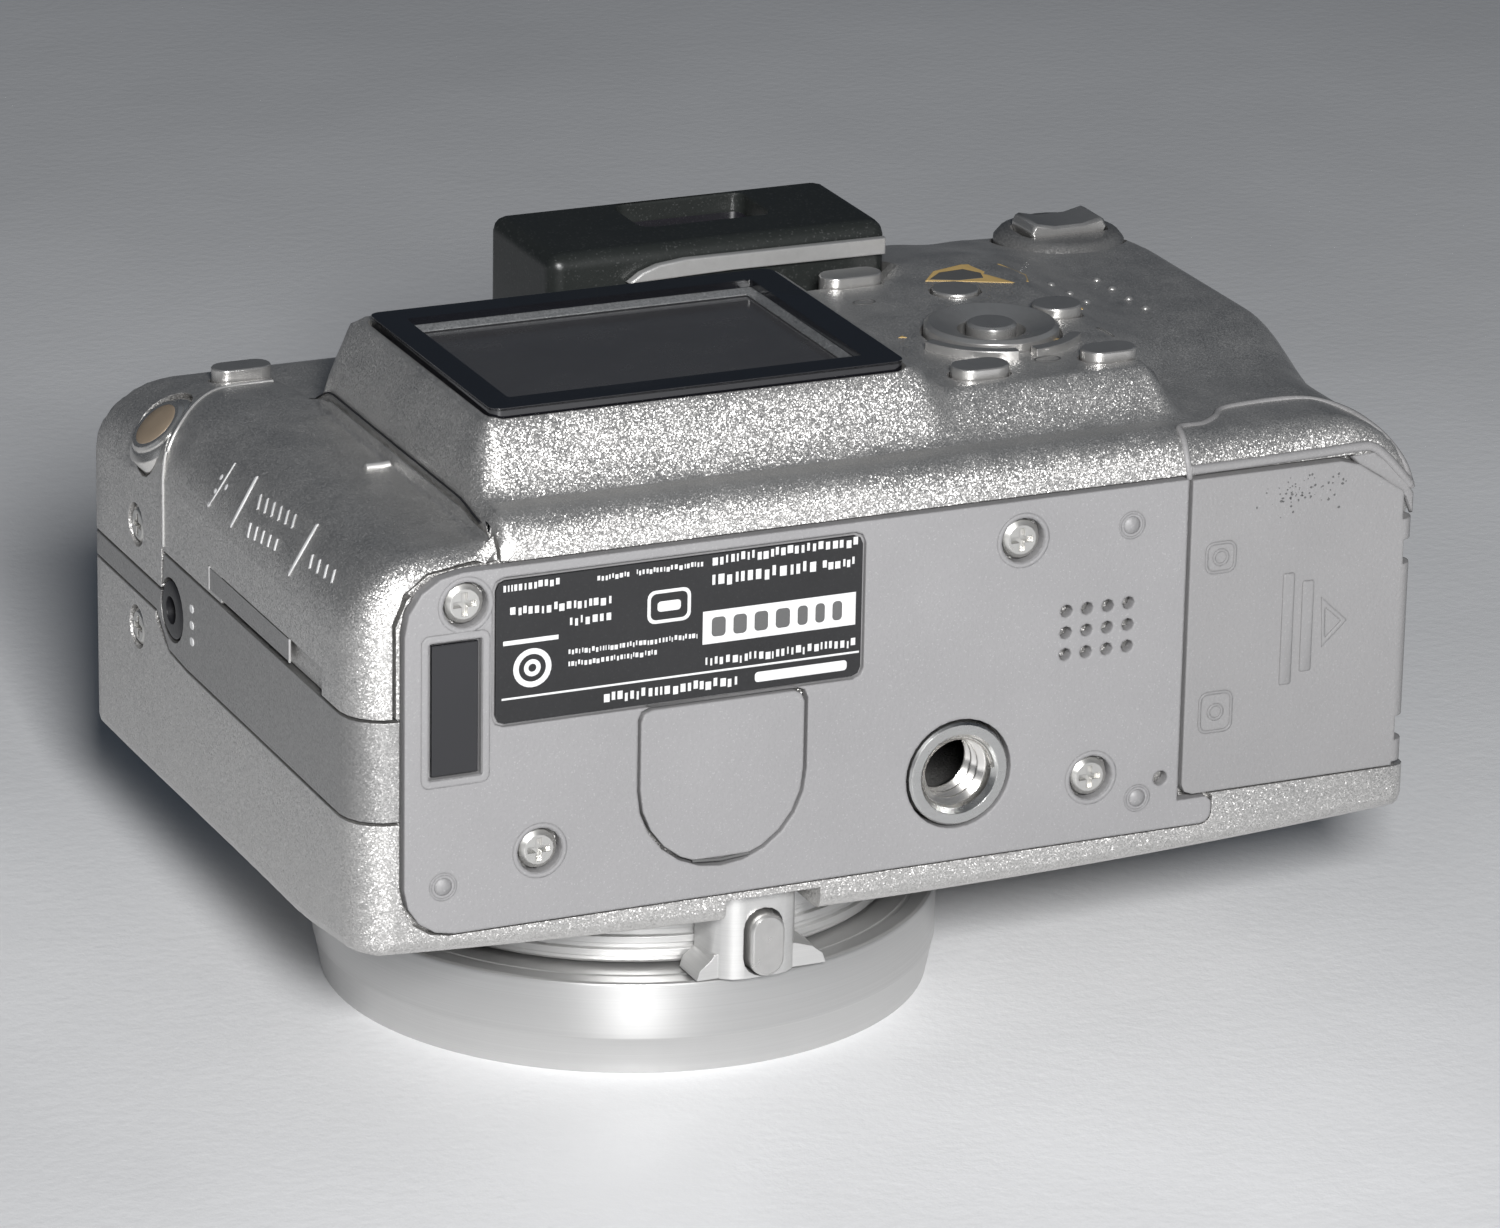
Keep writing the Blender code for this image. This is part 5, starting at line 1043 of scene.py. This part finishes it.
def lens_details():
    """The front ring and its ticks, the turned ring, the flange's steps and the grip's ribs."""
    shape = bmesh.new()
    add_turned(shape, [(12.45, 9.0), (16.9, 8.75), (17.1, 8.9), (17.1, 9.3), (12.45, 9.3)], LENS, count=64)
    add_turned(shape, [(13.0, 8.75), (13.3, 8.6), (13.7, 8.6), (14.0, 8.72), (14.0, 9.0), (13.0, 9.0)],
        LENS, count=64)
    piece_from("front_ring", shape, BLACK, "inner_barrel", limit=30.0)
    shape = bmesh.new()
    for i in range(60):
        if i % 15 > 9:
            continue
        angle = 2 * math.pi * i / 60
        a, b = (math.cos(angle), math.sin(angle)), (-math.sin(angle), math.cos(angle))
        corners = [(LENS[0] + r * a[0] + w * b[0], LENS[1] + r * a[1] + w * b[1])
                   for r, w in ((15.1, -0.16), (15.9, -0.16), (15.9, 0.16), (15.1, 0.16))]
        add_prism(shape, corners, "Z", 8.84, 8.78)
    piece_from("front_ring_ticks", shape, PRINT, "inner_barrel", smooth=False)
    shape = bmesh.new()
    ring = [(24.2, 0.0), (26.8, 0.0), (27.38, 3.15), (27.46, 3.3), (27.5, 3.5), (27.5, 8.15), (27.42, 8.38),
        (27.2, 8.5)]
    ring += [(26.0, 8.5), (25.9, 8.42), (25.6, 8.42), (25.5, 8.5), (22.6, 8.5)]
    ring += [(22.6 + 0.12 * (i % 2), 8.3 - 0.3 * i) for i in range(1, 20)] + [(22.6, 1.6)]
    add_turned(shape, ring, LENS, count=180)
    piece_from("lens_ring_turned", shape, RING, "lens_ring", replaced=("lens_ring",), limit=20.0)
    shape = bmesh.new()
    for low in (9.4, 10.6, 11.9, 13.2):
        add_turned(shape, [(23.6, low), (24.0, low + 0.15), (24.0, low + 0.75), (23.6, low + 0.9)], LENS,
            count=96)
    piece_from("flange_steps", shape, BARREL, "casing", limit=30.0)
    shape = bmesh.new()
    for i in range(9):
        add_tube(shape, [(37.6, 27.5 + 3.4 * i, 12.1), (41.0, 28.1 + 3.4 * i, 12.0),
            (44.4, 27.5 + 3.4 * i, 12.1)], 0.35, 0.7, 8, (0.0, 0.0, -1.0))
    piece_from("grip_ribs", shape, GRIP, "casing", limit=60.0)


smooth_skin("rear_shell", "casing", rear_skin, 1.0)
smooth_skin("connector_cover", "connector_cover", rear_skin, 1.0)
smooth_skin("front_shell", "casing", front_skin, -1.0)
label_print()
plate_details()
door_details()
wrap_rims()
tripod_thread()
back_details()
screen_details()
cover_details()
lug_face()
top_details()
lens_details()


# ---------------------------------------------------------------- stage, light and camera
def build_stage():
    made = bpy.data.meshes.new("floor")
    reach = 6.0
    made.from_pydata([(-reach, -reach, 0), (reach, -reach, 0), (reach, reach, 0), (-reach, reach, 0)], [],
        [(0, 1, 2, 3)])
    floor = bpy.data.objects.new("floor", made)
    bpy.context.scene.collection.objects.link(floor)
    material, tree, shader, place = blank("floor_paper", (0.66, 0.68, 0.71), 0.0, 0.42)
    cloud = noise(tree, place, 9.0, 6.0, 0.6)
    grain = noise(tree, place, 700.0, 3.0, 0.6)
    tree.links.new(shade(tree, cloud, 0.35, 0.65, (0.74, 0.742, 0.75), (0.84, 0.842, 0.85)),
        shader.inputs["Base Color"])
    bump = wire(tree, "ShaderNodeBump", Strength=0.5, Distance=0.1 * MM, Height=grain)
    tree.links.new(bump.outputs["Normal"], shader.inputs["Normal"])
    made.materials.append(material)
    return floor


def area_light(name, place, target, size, power, colour):
    data = bpy.data.lights.new(name, "AREA")
    data.energy = power
    data.size = size
    data.color = colour
    made = bpy.data.objects.new(name, data)
    made.location = place
    made.rotation_mode = "QUATERNION"
    made.rotation_quaternion = (Vector(target) - Vector(place)).to_track_quat("-Z", "Y")
    bpy.context.scene.collection.objects.link(made)
    return made


MIDDLE = (0.0, 0.0, 0.03)
# Name, place, size and power in metres and watts, colour.
LIGHTS = (
    ("key", (-0.21, -0.62, 0.335), 0.12, 7.6, (1.0, 1.0, 1.0)),
    ("overhead", (0.1, 0.35, 0.9), 0.9, 0.09, (0.72, 0.86, 1.0)),
    ("left_fill", (-0.85, -0.05, 0.14), 0.5, 0.12, (0.92, 0.96, 1.0)),
    ("right_fill", (0.8, 0.2, 0.45), 0.6, 0.1, (0.85, 0.93, 1.0)),
)


def build_lights():
    for name, place, size, power, colour in LIGHTS:
        area_light(name, place, MIDDLE, size, power, colour)
    world = bpy.data.worlds.new("studio")
    bpy.context.scene.world = world
    world.use_nodes = True
    back = world.node_tree.nodes["Background"]
    back.inputs["Color"].default_value = (0.55, 0.68, 0.88, 1.0)
    back.inputs["Strength"].default_value = 0.05


CAMERA_PLACE = (-0.2523338, -0.5662628, 0.2513663)
CAMERA_RIGHT = (0.9145975, -0.4039968, 0.0172614)
CAMERA_DOWN = (-0.1213302, -0.3148964, -0.9413391)
CAMERA_AHEAD = (0.3857335, 0.8588521, -0.3370205)


def build_camera():
    data = bpy.data.cameras.new("view")
    data.sensor_width = 36.0
    data.lens = 179.21
    data.clip_start = 0.01
    data.clip_end = 20.0
    made = bpy.data.objects.new("view", data)
    bpy.context.scene.collection.objects.link(made)
    axes = Matrix((CAMERA_RIGHT, [-v for v in CAMERA_DOWN], [-v for v in CAMERA_AHEAD])).transposed()
    made.matrix_world = Matrix.Translation(CAMERA_PLACE) @ axes.to_4x4()
    bpy.context.scene.camera = made


build_stage()
build_lights()
build_camera()
bpy.context.scene.view_settings.view_transform = "Standard"
